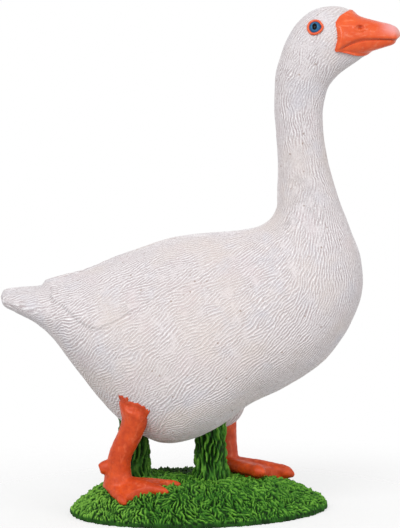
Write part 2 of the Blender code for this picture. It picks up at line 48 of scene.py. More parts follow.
# all lengths below are in millimetres, for a goose of this height
goose = {
    "height": 84.85,
    "bodyLength": 60.8,
    "bodyDepth": 36.3,
    "bodyWidth": 29.0,
    "tailReach": 33.6,
    "bellyZ": 11.7,
    "neckLength": 24.0,
    "neckDepth": 8.0,
    "neckWidth": 7.8,
    "headLength": 15.6,
    "headHeight": 13.0,
    "headWidth": 8.6,
    "vertexSpacing": 0.147,
}

# back x and z, belly x and z, half width: shares of the body's length, depth and width
bodyOutline = [
    (0.003, 0.691, 0.003, 0.667, 0.12),
    (0.012, 0.708, 0.012, 0.642, 0.24),
    (0.044, 0.719, 0.041, 0.614, 0.36),
    (0.100, 0.727, 0.100, 0.562, 0.47),
    (0.166, 0.752, 0.151, 0.485, 0.60),
    (0.255, 0.804, 0.217, 0.336, 0.75),
    (0.349, 0.873, 0.278, 0.204, 0.87),
    (0.456, 0.937, 0.359, 0.074, 0.955),
    (0.566, 0.970, 0.464, 0.000, 1.00),
    (0.651, 0.983, 0.581, 0.055, 1.00),
    (0.707, 1.000, 0.691, 0.182, 0.98),
    (0.737, 1.025, 0.801, 0.275, 0.925),
    (0.755, 1.058, 0.898, 0.388, 0.84),
    (0.765, 1.096, 0.964, 0.543, 0.73),
    (0.766, 1.138, 0.998, 0.697, 0.61),
]
# nape x and z, front z, how much breast is left in the front and in the width
neckOutline = [
    (0.0625, 0.283, -0.221, 0.955, 0.330),
    (0.0625, 0.388, -0.004, 0.687, 0.198),
    (0.0500, 0.513, 0.213, 0.388, 0.100),
    (0.0250, 0.654, 0.429, 0.164, 0.038),
    (0.0000, 0.808, 0.667, 0.015, 0.005),
    (0.0000, 0.946, 0.833, 0.000, 0.000),
]
# crown x and z, chin x and z, half width: shares of the head's
headOutline = [
    (0.013, 0.146, 0.571, -0.023, 0.94),
    (0.058, 0.362, 0.673, 0.123, 0.99),
    (0.135, 0.592, 0.776, 0.215, 1.00),
    (0.244, 0.792, 0.853, 0.277, 0.98),
    (0.404, 0.946, 0.917, 0.331, 0.87),
    (0.596, 1.000, 0.968, 0.377, 0.69),
    (0.744, 0.977, 1.000, 0.454, 0.50),
    (0.840, 0.900, 0.987, 0.554, 0.28),
]

grow = (nodeHigh.z - nodeLow.z) / (goose["height"] * mm)
tailX = -goose["tailReach"]
shoulderZ = goose["bellyZ"] + goose["bodyDepth"]
throatZ = shoulderZ + goose["neckLength"]
napeX = tailX + 0.758 * goose["bodyLength"]
# the tail's tip lies on the low end of the solid's box
slideX = nodeLow.x / mm / grow - (tailX + bodyOutline[0][0] * goose["bodyLength"])


def toWorld(points):
    return (np.asarray(points, float) + (slideX, 0.0, 0.0)) * (mm * grow)


def unit(vectors):
    return vectors / np.maximum(np.linalg.norm(vectors, axis=-1, keepdims=True), 1e-9)


def xyz(x, y, z):
    return np.stack(np.broadcast_arrays(x, y, z), -1)


def ease(value):
    value = np.clip(value, 0.0, 1.0)
    return value * value * (3 - 2 * value)


def bell(value, middle, width):
    return np.exp(-(((value - middle) / width) ** 2))


def wholeTurn(count):
    return np.arange(count) * 2 * math.pi / count


def smoothCurve(knots, values, at):
    knots, values, at = (np.asarray(each, float) for each in (knots, values, at))
    steps = np.diff(knots)
    rises = np.diff(values) / steps
    slopes = np.concatenate([rises[:1], rises[1:], rises[-1:]])
    slopes[1:-1] = (rises[:-1] * steps[1:] + rises[1:] * steps[:-1]) / (steps[:-1] + steps[1:])
    i = np.clip(np.searchsorted(knots, at, "right") - 1, 0, len(steps) - 1)
    t = (at - knots[i]) / steps[i]
    ends = (1 + 2 * t) * (1 - t) ** 2 * values[i] + t * t * (3 - 2 * t) * values[i + 1]
    return ends + steps[i] * (t * (1 - t) ** 2 * slopes[i] + t * t * (t - 1) * slopes[i + 1])


# random heights on the corners of a grid, blended smoothly in between
noiseTable = np.random.default_rng(11).uniform(-1, 1, (64, 64, 64)).astype(np.float32)


def softNoise(points, cell, shift=0):
    # each shift gives another pattern
    spot = np.asarray(points, float) / cell + shift * 17.31 + 400
    low = np.floor(spot).astype(int)
    part = spot - low
    part = part * part * (3 - 2 * part)
    total = 0
    for corner in range(8):
        step = [(corner >> axis) & 1 for axis in range(3)]
        weight = 1
        for axis in range(3):
            weight = weight * (part[..., axis] if step[axis] else 1 - part[..., axis])
        picks = tuple((low[..., axis] + step[axis]) & 63 for axis in range(3))
        total = total + weight * noiseTable[picks]
    return total


# for each cell of space four bundles of strokes: their place, swing, pitch and phase
bundleTable = np.random.default_rng(5).uniform(0, 1, (16, 16, 16, 4, 6)).astype(np.float32)
batchSize = 60000  # points carved at a time, to spare the memory


def carveBundles(points, normals, ways, pitch, reach, wander):
    # short bundles of parallel ridges, scattered all over, that lie along the ways they are given
    ways = unit(ways - (ways * normals).sum(-1, keepdims=True) * normals)
    across = np.cross(normals, ways)
    cell = 2.2 * reach  # a bundle has faded out before the second cell
    waves = np.zeros((2, len(points)))
    turns = np.broadcast_to(2 * math.pi / np.asarray(pitch), len(points))
    for start in range(0, len(points), batchSize):
        part = slice(start, start + batchSize)
        spot, way, side, out = points[part], ways[part], across[part], normals[part]
        low = np.floor(spot / cell).astype(int)
        for step in range(27):
            corner = low + (step % 3 - 1, step // 3 % 3 - 1, step // 9 - 1)
            picks = bundleTable[corner[:, 0] & 15, corner[:, 1] & 15, corner[:, 2] & 15]
            for n in range(bundleTable.shape[3]):
                offset = spot - (corner + picks[:, n, :3]) * cell
                along, aside, deep = ((offset * each).sum(-1) for each in (way, side, out))
                swing = wander * (2 * picks[:, n, 3] - 1)
                phase = (aside + swing * along) * turns[part] * (0.8 + 0.45 * picks[:, n, 4])
                phase = phase + 2 * math.pi * picks[:, n, 5]
                fall = np.exp(-(along**2 + 2.2 * aside**2 + 2.2 * deep**2) / (2 * reach**2))
                waves[0, part] += fall * np.cos(phase)
                waves[1, part] += fall * np.sin(phase)
    return waves / waves.std()


def evenOut(waves, softness):
    # ridges of nearly one height, with gaps only where bundles meet
    return waves / np.sqrt((waves**2).sum(0) + softness)


def asMark(relief):
    # height of a ridge as a number from 0 to 1 for the paint
    return np.clip(0.5 + 0.27 * relief, 0, 1)


def ringCounts(girths, spacing, fewest):
    # points on each ring, doubled or halved where its girth asks for it
    counts = [fewest]
    for girth in girths:
        doublings = int(round(math.log2(max(girth / spacing / fewest, 1))))
        counts.append(int(np.clip(fewest * 2**doublings, counts[-1] // 2, counts[-1] * 2)))
    return counts[1:]


def ringFaces(counts):
    # faces between rings of points, where a ring may have twice or half the next one's points
    quads = [np.empty((0, 4), int)]
    triangles = [np.empty((0, 3), int)]
    starts = np.concatenate([[0], np.cumsum(counts)])
    for k in range(len(counts) - 1):
        a, b = starts[k], starts[k + 1]
        m, n = counts[k], counts[k + 1]
        i = np.arange(min(m, n))
        j = (i + 1) % min(m, n)
        threes = ()
        if m == n:
            quads.append(np.stack([a + i, b + i, b + j, a + j], 1))
        elif n > m:
            odd, even = b + 2 * i + 1, b + 2 * j
            threes = ((a + i, b + 2 * i, odd), (a + i, odd, a + j), (a + j, odd, even))
        else:
            odd, even = a + 2 * i + 1, a + 2 * j
            threes = ((a + 2 * i, b + i, odd), (odd, b + i, b + j), (odd, b + j, even))
        triangles += [np.stack(corners, 1) for corners in threes]
    return np.concatenate(quads), np.concatenate(triangles)


def lidFaces(columns):
    # a fan over the first ring
    fan = np.arange(columns)
    return np.stack([np.zeros(columns - 2, int), fan[1:-1], fan[2:]], 1)


def pointNormals(points, quads, triangles):
    total = np.zeros((len(points), 3))
    for faces in (quads, triangles):
        if len(faces) == 0:
            continue
        corners = points[faces]
        if faces.shape[1] == 4:
            flat = np.cross(corners[:, 2] - corners[:, 0], corners[:, 3] - corners[:, 1])
        else:
            flat = np.cross(corners[:, 1] - corners[:, 0], corners[:, 2] - corners[:, 0])
        for corner in range(faces.shape[1]):
            for axis in range(3):
                total[:, axis] += np.bincount(faces[:, corner], flat[:, axis], len(points))
    return unit(total)


def addPiece(name, points, quads, triangles, material, slot, marks, normals=None):
    mesh = bpy.data.meshes.new(name)
    mesh.vertices.add(len(points))
    mesh.vertices.foreach_set("co", toWorld(points).ravel())
    corners = np.concatenate([quads.ravel(), triangles.ravel()]).astype(np.int32)
    sizes = [0] + [4] * len(quads) + [3] * len(triangles)
    mesh.loops.add(len(corners))
    mesh.loops.foreach_set("vertex_index", corners)
    mesh.polygons.add(len(sizes) - 1)
    mesh.polygons.foreach_set("loop_start", np.cumsum(sizes)[:-1].astype(np.int32))
    mesh.update(calc_edges=True)
    finishPiece(name, mesh, material, marks, normals)


def finishPiece(name, mesh, material, marks, normals=None):
    # the marks are numbers on the points that the paints read
    for key, values in marks.items():
        mark = mesh.attributes.new(key, "FLOAT", "POINT")
        mark.data.foreach_set("value", np.asarray(values, np.float32))
    mesh.shade_smooth()
    if normals is not None:
        mesh.normals_split_custom_set_from_vertices(normals)
    mesh.materials.append(material)
    piece = bpy.data.objects.new(name, mesh)
    bpy.context.scene.collection.objects.link(piece)
    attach(piece, "root")
    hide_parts("goose_figurine")
    print(name, "has", len(mesh.loops) - 2 * len(mesh.polygons), "triangles")


# paints

def addNode(tree, kind, feeds=None, **settings):
    made = tree.nodes.new("ShaderNode" + kind)
    for key, value in settings.items():
        setattr(made, key, value)
    for key, value in (feeds or {}).items():
        if isinstance(value, bpy.types.NodeSocket):
            tree.links.new(value, made.inputs[key])
        else:
            made.inputs[key].default_value = value
    return made


def mixColours(tree, amount, first, second):
    return addNode(tree, "Mix", {0: amount, 6: first, 7: second}, data_type="RGBA").outputs[2]


def layColours(tree, base, values, layers):
    # each layer is an amount and the name of its colour, laid over what is there
    for amount, colour in layers:
        base = mixColours(tree, amount, base, values[colour])
    return base


def maths(tree, operation, *values):
    return addNode(tree, "Math", dict(enumerate(values)), operation=operation).outputs[0]


def spread(tree, value, low, high, toLow=0.0, toHigh=1.0):
    feeds = {"Value": value, "From Min": low, "From Max": high, "To Min": toLow, "To Max": toHigh}
    return addNode(tree, "MapRange", feeds, clamp=True).outputs["Result"]


def speckle(tree, place, scale, detail=3.0, rough=0.55):
    feeds = {"Vector": place, "Scale": scale, "Detail": detail, "Roughness": rough}
    return addNode(tree, "TexNoise", feeds).outputs["Fac"]


def newPaint(name):
    material = bpy.data.materials.new(name)
    material.use_nodes = True
    tree = material.node_tree
    place = addNode(tree, "TexCoord").outputs["Object"]
    return material, tree, tree.nodes["Principled BSDF"], place


def finishPaint(tree, shader, values, base, shine, height):
    # shine runs from 0, rough, to 1, glossy
    rough, glossy = values["roughness"]
    tree.links.new(base, shader.inputs["Base Color"])
    tree.links.new(spread(tree, shine, 0.0, 1.0, rough, glossy), shader.inputs["Roughness"])
    shader.inputs["Specular IOR Level"].default_value = values["specular"]
    feeds = {"Height": height, "Strength": values["bump"], "Distance": values["bumpDepth"] * mm}
    tree.links.new(addNode(tree, "Bump", feeds).outputs["Normal"], shader.inputs["Normal"])


def readMark(tree, name):
    return addNode(tree, "Attribute", attribute_name=name).outputs["Fac"]


def readStroke(tree):
    # 1 on the top of a ridge and -1 in a groove, crisp between the points of the mesh too
    wave, drift = readMark(tree, "wave"), readMark(tree, "drift")
    square = maths(tree, "MULTIPLY_ADD", drift, drift, maths(tree, "MULTIPLY", wave, wave))
    size = maths(tree, "POWER", square, 0.5)
    return maths(tree, "MULTIPLY", maths(tree, "DIVIDE", wave, size), spread(tree, size, 0.15, 0.7))


plumagePaint = {
    # the strokes' ridges are painted lighter, a painted highlight, and their grooves darker, a painted
    # shade
    "ridgeHighlight": (0.950, 0.925, 0.935, 1),
    "middle": (0.765, 0.722, 0.735, 1),
    "groove": (0.455, 0.385, 0.395, 1),
    "cream": (0.740, 0.660, 0.620, 1),
    "rose": (0.720, 0.610, 0.630, 1),
    "cool": (0.640, 0.650, 0.720, 1),
    "speck": (0.30, 0.20, 0.15, 1),
    "patchSize": 9.0,
    "specksPerMetre": 520.0,
    "roughness": (0.67, 0.50),
    "specular": 0.25,
    "bump": 0.9,
    "bumpDepth": 0.09,
}


def paintPlumage():
    values = plumagePaint
    material, tree, shader, place = newPaint("whitePlumage")
    grain = spread(tree, speckle(tree, place, 3000, 3.0, 0.7), 0.3, 0.7, -0.55, 0.55)
    stroke = maths(tree, "ADD", readStroke(tree), grain)
    # painted shade in the grooves between the strokes
    base = mixColours(tree, spread(tree, stroke, -1.1, 0.1), values["groove"], values["middle"])
    # the patches of other whites each have a pattern of their own
    warm, rosy, cool = (speckle(tree, place, scale / values["patchSize"]) for scale in (1000, 1400, 1750))
    # a few cells hold a small dark speck
    cells = addNode(tree, "TexVoronoi", {"Vector": place, "Scale": values["specksPerMetre"]})
    chosen = spread(tree, cells.outputs["Color"], 0.42, 0.46)
    dots = spread(tree, cells.outputs["Distance"], 0.05, 0.12, 0.7, 0.0)
    base = layColours(tree, base, values, [
        # a painted highlight on the ridges of the strokes
        (spread(tree, stroke, 0.45, 1.05), "ridgeHighlight"),
        (spread(tree, warm, 0.46, 0.68, 0.0, 0.55), "cream"),
        (readMark(tree, "blush"), "cream"),
        (spread(tree, rosy, 0.55, 0.75, 0.0, 0.40), "rose"),
        (spread(tree, cool, 0.55, 0.75, 0.0, 0.40), "cool"),
        (maths(tree, "MULTIPLY", dots, chosen), "speck"),
    ])
    shine = spread(tree, stroke, -1.0, 1.0)
    finishPaint(tree, shader, values, base, shine, spread(tree, stroke, -0.4, 1.1))
    return material


billPaint = {
    "bright": (0.835, 0.126, 0.027, 1),
    "deep": (0.730, 0.083, 0.016, 1),
    # a pink painted highlight on the top of the bill towards its tip
    "pinkHighlight": (0.860, 0.400, 0.400, 1),
    "nail": (0.800, 0.420, 0.340, 1),
    # the darkest colour is a painted shade in the nostril, the bill's crease and the hollows of the legs
    "recessShade": (0.300, 0.030, 0.010, 1),
    # the pale streaks are a painted highlight, like glints on gloss paint
    "glint": (0.950, 0.300, 0.160, 1),
    "glints": 0.5,
    "glintScale": (0.3, 1.0, 1.0),
    "roughness": (0.43, 0.23),
    "specular": 0.35,
    "bump": 0.35,
    "bumpDepth": 0.10,
}
# the legs take the bill's orange painted darker, a painted shade
legPaint = billPaint | {
    "bright": (0.715, 0.085, 0.011, 1),
    "deep": (0.475, 0.042, 0.006, 1),
    "pinkHighlight": (0.780, 0.300, 0.240, 1),
    "nail": (0.700, 0.400, 0.300, 1),
    "recessShade": (0.220, 0.040, 0.010, 1),
    "glint": (0.850, 0.200, 0.080, 1),
    "glints": 0.4,
    "glintScale": (1.0, 1.0, 0.5),
    "roughness": (0.59, 0.39),
    "bump": 0.6,
}


def paintOrange(name, values):
    material, tree, shader, place = newPaint(name)
    grain = spread(tree, speckle(tree, place, 900, 4.0), 0.3, 0.7)
    base = mixColours(tree, grain, values["deep"], values["bright"])
    # pale streaks along the bill and up the legs: a painted highlight, standing in for glints on the
    # glossy paint
    longwise = addNode(tree, "Mapping", {"Vector": place, "Scale": values["glintScale"]})
    glints = speckle(tree, longwise.outputs[0], 1400)
    base = layColours(tree, base, values, [
        (spread(tree, speckle(tree, place, 160), 0.45, 0.7, 0.0, 0.5), "deep"),
        (spread(tree, glints, 0.56, 0.72, 0.0, values["glints"]), "glint"),
        # the pale mark lays the pink painted highlight on the bill's top
        (readMark(tree, "pale"), "pinkHighlight"),
        (readMark(tree, "nail"), "nail"),
        # painted shade in the nostril, the crease and the hollows
        (readMark(tree, "recessShade"), "recessShade"),
    ])
    finishPaint(tree, shader, values, base, grain, speckle(tree, place, 1900, 4.0))
    return material


grassPaint = {
    "groove": (0.003, 0.022, 0.001, 1),
    "blade": (0.024, 0.130, 0.006, 1),
    "tip": (0.180, 0.450, 0.045, 1),
    "straw": (0.290, 0.600, 0.080, 1),
    "strokeShare": 0.22,  # how much of the shading comes from the fine strokes
    "roughness": (0.75, 0.60),
    "specular": 0.2,
    "bump": 0.9,
    "bumpDepth": 0.12,
}


def paintGrass():
    values = grassPaint
    material, tree, shader, place = newPaint("greenGrass")
    grain = spread(tree, speckle(tree, place, 2600, 3.0, 0.7), 0.3, 0.7, -0.3, 0.3)
    stroke = maths(tree, "ADD", readStroke(tree), grain)
    both = maths(tree, "MULTIPLY_ADD", stroke, values["strokeShare"], readMark(tree, "relief"))
    base = mixColours(tree, spread(tree, both, 0.15, 0.60), values["groove"], values["blade"])
    patch = spread(tree, speckle(tree, place, 700, 2.0), 0.35, 0.65, 0.25, 1.0)
    tips = maths(tree, "MULTIPLY", spread(tree, both, 0.60, 1.05), patch)
    base = mixColours(tree, tips, base, values["tip"])
    # the dry grass has straw on its tips
    pale = mixColours(tree, spread(tree, both, 0.40, 1.0, 0.0, 0.9), base, values["straw"])
    base = mixColours(tree, spread(tree, readMark(tree, "dry"), 0.0, 1.0, 0.0, 0.8), base, pale)
    base = mixColours(tree, readMark(tree, "shade"), base, values["groove"])
    finishPaint(tree, shader, values, base, both, spread(tree, stroke, -0.8, 1.0))
    return material


irisPaint = {
    "inner": (0.085, 0.31, 0.56, 1),
    "outer": (0.01, 0.04, 0.12, 1),
    "reach": 0.95,  # where the inner colour has turned to the outer one
    "roughness": (0.12, 0.22),
    "specular": 0.07,
    "bump": 0.15,
    "bumpDepth": 0.03,
}
pupilPaint = irisPaint | {
    "inner": (0.002, 0.002, 0.003, 1),
    "outer": (0.006, 0.006, 0.009, 1),
    "reach": 1.0,
}


def paintEye(name, values):
    material, tree, shader, place = newPaint(name)
    shade = spread(tree, readMark(tree, "rim"), 0.0, values["reach"])
    base = mixColours(tree, shade, values["inner"], values["outer"])
    blotch = spread(tree, speckle(tree, place, 4000), 0.4, 0.7, 0.0, 0.4)
    base = mixColours(tree, blotch, base, values["outer"])
    shine = spread(tree, speckle(tree, place, 2500), 0.3, 0.7)
    finishPaint(tree, shader, values, base, shine, speckle(tree, place, 3000))
    return material


# plumage: one loft from the tail to the face, carved with fine strokes

feathers = {
    "fewestPoints": 48,  # on the smallest ring
    "bodyPitch": 0.50,
    "neckPitch": 0.47,
    "strokeReach": 0.95,
    "strokeHeight": 0.042,
    "strokeWander": 0.34,
    "strokeSoftness": 0.20,
    "strokeRagged": 0.6,  # how much one stroke's depth differs from the next one's
    "wayReach": 40.0,  # square millimetres over which one way blends into the next
    "wander": 11.0,  # degrees that whole patches swing off their way
    "wanderSize": 3.0,
    "neckFrom": 46.0,  # where the body's strokes start to turn into the neck's, and over how much
    "neckOver": 12.0,
    "headFrom": 74.0,  # where the strokes start to calm down on the head
    "headOver": 6.0,
    "headCalm": 0.35,
    "softLumps": 0.08,
    "blush": 0.42,  # warmth of the flank's paint, its x, z, length and height
    "blushAt": (1.0, 30.0, 15.0, 9.0),
    "tailRound": 0.9,
    "wingLift": 0.8,
    "wingTop": 7.0,  # degrees that the wings stop short of the spine
    "wingTopEdge": 1.2,
    "wingEdge": 0.9,
    "wingRagged": 1.3,
    "tipRound": 1.8,
    "tipMiddle": 18.0,  # degrees off the spine where a wing reaches furthest back
}

# which way the strokes run on the flank: x, z, degrees where 180 is to the tail and 270 is down
strokeWays = [
    (17.0, 84.0, 215), (21.5, 77.0, 228), (15.5, 79.0, 255), (19.0, 73.0, 240), (16.0, 70.0, 262),
    (17.0, 62.0, 268), (10.5, 60.0, 268), (14.5, 56.0, 262), (9.0, 54.5, 264), (20.5, 54.0, 276),
    (9.0, 50.0, 246), (15.5, 50.0, 253), (22.5, 49.0, 280), (7.0, 46.5, 222), (11.0, 45.5, 222),
    (15.5, 45.0, 238), (21.5, 44.0, 262),
    (-8.0, 42.0, 203), (-0.7, 42.5, 198), (7.0, 41.0, 211), (17.5, 40.0, 236), (25.5, 41.0, 286),
    (-19.0, 38.5, 208), (-11.7, 38.5, 218), (-2.0, 37.0, 199), (11.0, 36.0, 223), (24.0, 35.0, 252),
    (-30.0, 35.0, 181), (-23.0, 34.5, 200), (-16.0, 33.0, 212), (-4.0, 33.0, 210), (4.0, 31.0, 220),
    (17.0, 31.0, 224), (-14.0, 27.5, 220), (-4.5, 27.5, 225), (7.0, 27.0, 218), (17.0, 26.0, 226),
    (-15.5, 23.0, 224), (0.0, 22.0, 223), (10.0, 20.0, 212), (-8.0, 18.0, 240), (3.0, 15.0, 222),
]

# station, lower edge in degrees from the back, lift at the back and at the edge
wingOutline = [
    (3.2, 30.0, 0.83, 0.75),
    (3.6, 53.0, 1.00, 0.67),
    (4.2, 70.0, 0.92, 0.50),
    (4.8, 83.0, 0.67, 0.50),
    (5.5, 86.0, 0.62, 0.54),
    (6.1, 77.0, 0.33, 0.46),
    (6.8, 64.0, 0.29, 0.42),
    (7.7, 54.0, 0.29, 0.33),
    (8.6, 42.0, 0.08, 0.15),
    (9.6, 26.0, -0.10, -0.10),
]

thigh = {"x": 1.4, "y": 7.0, "z": 18.34, "length": 13.0, "width": 8.45, "height": 12.48}


def skinSections():
    # back x and z, belly x and z and half width of each section, from the tail to the face
    long, deep, half = goose["bodyLength"], goose["bodyDepth"], goose["bodyWidth"] / 2
    low = goose["bellyZ"]
    rows = [
        (tailX + a * long, low + b * deep, tailX + c * long, low + d * deep, e * half)
        for a, b, c, d, e in bodyOutline
    ]
    neckFront = napeX + goose["neckDepth"]
    breastLeft = tailX + long - neckFront
    for nape, napeZ, frontZ, front, wide in neckOutline:
        width = goose["neckWidth"] / 2 + wide * (goose["bodyWidth"] - goose["neckWidth"]) / 2
        x = napeX + nape * goose["neckDepth"]
        z = shoulderZ + napeZ * goose["neckLength"]
        frontZ = shoulderZ + frontZ * goose["neckLength"]
        rows.append((x, z, neckFront + front * breastLeft, frontZ, width))
    long, deep, half = goose["headLength"], goose["headHeight"], goose["headWidth"] / 2
    rows += [
        (napeX + a * long, throatZ + b * deep, napeX + c * long, throatZ + d * deep, e * half)
        for a, b, c, d, e in headOutline
    ]
    return np.array(rows)


sections = skinSections()
backSteps = np.hypot(np.diff(sections[:, 0]), np.diff(sections[:, 1]))
bellySteps = np.hypot(np.diff(sections[:, 2]), np.diff(sections[:, 3]))
skinKnots = np.concatenate([[0.0], np.cumsum((backSteps + bellySteps) / 2)])
fineKnots = np.linspace(0, skinKnots[-1], 4000)
fineSections = [smoothCurve(skinKnots, column, fineKnots) for column in sections.T]


def skinPoint(knot, turn):
    backX, backZ, bellyX, bellyZ, half = (np.interp(knot, fineKnots, column) for column in fineSections)
    down = (1 - np.cos(turn)) / 2
    # the body is widest below its middle, the head above
    sag = 0.12 - 0.26 * (knot / skinKnots[-1]) ** 2
    x = backX + (bellyX - backX) * down
    z = backZ + (bellyZ - backZ) * down
    return xyz(x, half * np.sin(turn) * (1 - sag * np.cos(turn)), z)


def skinSlopes(knot, turn, step=0.02):
    ahead, behind = np.minimum(knot + step, skinKnots[-1]), np.maximum(knot - step, 0)
    along = skinPoint(ahead, turn) - skinPoint(behind, turn)
    around = skinPoint(knot, turn + step) - skinPoint(knot, turn - step)
    return along / (2 * step), around / (2 * step)


def skinNormal(knot, turn):
    along, around = skinSlopes(knot, turn)
    return unit(np.cross(along, around))


def findOnSkin(x, z, station, turn):
    # the place on the skin that lies at x and z, searched from a station and a turn near it
    knot = np.interp(station, np.arange(len(skinKnots)), skinKnots)
    for _ in range(14):
        here = skinPoint(knot, turn)
        byKnot = (skinPoint(knot + 0.01, turn) - here) / 0.01
        byTurn = (skinPoint(knot, turn + 0.001) - here) / 0.001
        whole = byKnot[..., 0] * byTurn[..., 2] - byKnot[..., 2] * byTurn[..., 0]
        offX, offZ = x - here[..., 0], z - here[..., 2]
        knot = knot + np.clip((offX * byTurn[..., 2] - offZ * byTurn[..., 0]) / whole, -2, 2)
        turn = turn + np.clip((offZ * byKnot[..., 0] - offX * byKnot[..., 2]) / whole, -0.3, 0.3)
    return skinPoint(knot, turn), skinNormal(knot, turn)


def strokeDirections(points):
    # a blend of the ways nearby, and each patch swings off it a little
    x, z = points[..., 0], points[..., 2]
    total = np.zeros(points.shape[:-1] + (2,))
    for wayX, wayZ, degrees in strokeWays:
        weight = np.exp(-((x - wayX) ** 2 + (z - wayZ) ** 2) / feathers["wayReach"]) + 1e-12
        total[..., 0] += weight * math.cos(math.radians(degrees))
        total[..., 1] += weight * math.sin(math.radians(degrees))
    patches = softNoise(points, feathers["wanderSize"], 1)
    patches = patches + 0.6 * softNoise(points, feathers["wanderSize"] / 2, 2)
    angle = np.arctan2(total[..., 1], total[..., 0]) + math.radians(feathers["wander"]) * 1.5 * patches
    return xyz(np.cos(angle), 0, np.sin(angle))


def wingShape(knot, turn, points):
    # how far the wings stand out, with a soft step at their lower edge, top and tip
    stations, edges, atBack, atEdge = (np.array(column) for column in zip(*wingOutline))
    station = np.interp(knot, skinKnots, np.arange(len(skinKnots)))
    held = np.clip(station, stations[0], stations[-1])
    degrees = np.abs(np.degrees(np.mod(turn + math.pi, 2 * math.pi) - math.pi))
    edge = smoothCurve(stations, edges, held) + feathers["wingRagged"] * softNoise(points, 1.6, 5)
    share = np.clip((degrees - feathers["wingTop"]) / (edge - feathers["wingTop"]), 0, 1)
    backLift = smoothCurve(stations, atBack, held)
    lift = backLift + (smoothCurve(stations, atEdge, held) - backLift) * share
    perDegree = np.linalg.norm(skinSlopes(knot, turn)[1], axis=-1) * math.pi / 180
    inside = ease((edge - degrees) * perDegree / feathers["wingEdge"] + 0.5)
    inside = inside * ease((degrees - feathers["wingTop"]) * perDegree / feathers["wingTopEdge"] + 0.5)
    tipKnot = np.interp(stations[0], np.arange(len(skinKnots)), skinKnots)
    fromMiddle = np.clip((degrees - feathers["tipMiddle"]) / feathers["tipMiddle"], -1, 1)
    tipKnot = tipKnot + feathers["tipRound"] * fromMiddle**2
    inside = inside * ease((knot - tipKnot) / feathers["wingEdge"])
    inside = inside * (station < stations[-1])
    return feathers["wingLift"] * lift * inside


def thighLift(points, normals):
    # how far the thigh, an egg inside the flank, stands out of it
    radii = np.array([thigh["length"], thigh["width"], thigh["height"]]) / 2
    offset = (points - (thigh["x"], thigh["y"], thigh["z"])) / radii
    heading = normals / radii
    a = (heading**2).sum(-1)
    b = (heading * offset).sum(-1)
    c = (offset**2).sum(-1) - 1
    reach = (-b + np.sqrt(np.maximum(b * b - a * c, 0))) / a
    return np.where(c < 0, np.clip(reach, 0, 4), 0)


def makePlumage(material):
    spacing = goose["vertexSpacing"]
    knots = np.linspace(0, skinKnots[-1], int(skinKnots[-1] / spacing))
    around = np.linspace(0, 2 * math.pi, 65)
    loops = [skinPoint(around * 0 + knot, around) for knot in knots]
    girths = [np.linalg.norm(np.diff(loop, axis=0), axis=1).sum() for loop in loops]
    counts = ringCounts(girths, spacing, feathers["fewestPoints"])
    knot = np.repeat(knots, counts)
    turn = np.concatenate([wholeTurn(n) for n in counts])
    base = skinPoint(knot, turn)
    normal = skinNormal(knot, turn)
    # the tail closes in a round tip
    middle = (skinPoint(knot, turn * 0) + skinPoint(knot, turn * 0 + math.pi)) / 2
    close = np.clip(knot / feathers["tailRound"], 0.02, 1)
    tipShare = np.sqrt(1 - (1 - close) ** 2)
    base = middle + (base - middle) * tipShare[:, None]
    print("plumage has", len(base), "points")
    neckShare = ease((base[:, 2] - feathers["neckFrom"]) / feathers["neckOver"])
    pitch = feathers["bodyPitch"] + (feathers["neckPitch"] - feathers["bodyPitch"]) * neckShare
    waves = carveBundles(base, normal, strokeDirections(base), pitch, feathers["strokeReach"],
                         feathers["strokeWander"])
    waves = evenOut(waves, feathers["strokeSoftness"])
    print("feather strokes carved")
    ragged = 0.85 + feathers["strokeRagged"] * softNoise(base, 0.9, 22)
    waves = waves * ragged * (1.14 - 0.04 * neckShare)
    calm = feathers["headCalm"] * ease((base[:, 2] - feathers["headFrom"]) / feathers["headOver"])
    waves = waves * (1 - calm)
    # the carving fades out at the face and at the tail's tip
    fade = ease((skinKnots[-1] - knot) / 2.0) * ease(knot / feathers["tailRound"])
    lump = softNoise(base, 4.5, 3) + 0.5 * softNoise(base, 2.2, 4)
    lift = feathers["strokeHeight"] * waves[0] * fade + feathers["softLumps"] * lump * fade
    lift = lift + wingShape(knot, turn, base) + thighLift(base, normal)
    points = base + normal * lift[:, None]
    x, z, long, high = feathers["blushAt"]
    blush = feathers["blush"] * bell(base[:, 0], x, long) * bell(base[:, 2], z, high)
    blush = np.clip(blush * (1 + 0.8 * softNoise(base, 3.5, 28)), 0, 1)
    normals = pointNormals(points, *ringFaces(counts))
    # five pieces of about as many points each
    names = ("tailPlumage", "flankPlumage", "bellyPlumage", "breastPlumage", "neckPlumage")
    starts = np.concatenate([[0], np.cumsum(counts)])
    share = np.cumsum(counts) / sum(counts)
    cuts = [int(np.searchsorted(share, n / len(names))) for n in range(len(names))] + [len(counts) - 1]
    for name, first, last in zip(names, cuts, cuts[1:]):
        part = slice(starts[first], starts[last + 1])
        quads, triangles = ringFaces(counts[first : last + 1])
        if first == 0:
            triangles = np.concatenate([triangles, lidFaces(counts[0])[:, [0, 2, 1]]])
        marks = {"wave": waves[0, part], "drift": waves[1, part], "blush": blush[part]}
        addPiece(name, points[part], quads, triangles, material, "plumage", marks, normals[part])


# mound of grass

mound = {
    "length": 43.8,
    "width": 32.0,
    "turn": 18.0,
    "height": 5.6,
    "edge": 0.9,
    "levelShare": 0.45,
    "fall": 0.04,
    "roundness": 2.1,
    "fewestPoints": 30,
    "bladePitch": 0.56,
    "bladeReach": 0.95,
    "bladeHeight": 0.13,
    "bladeWander": 0.6,
    "bladeSoftness": 0.8,
    "tuftPitch": 1.5,
    "tuftHeight": 0.17,
    "tuftReach": 1.1,
    "tuftWander": 0.8,
    "bladeSway": 40.0,  # degrees
    "rimCurve": ((0.35, 0.10), (0.7, 0.12), (1.0, -0.05)),  # share of the way down, how far out
    "vertexSpacing": 0.135,
}


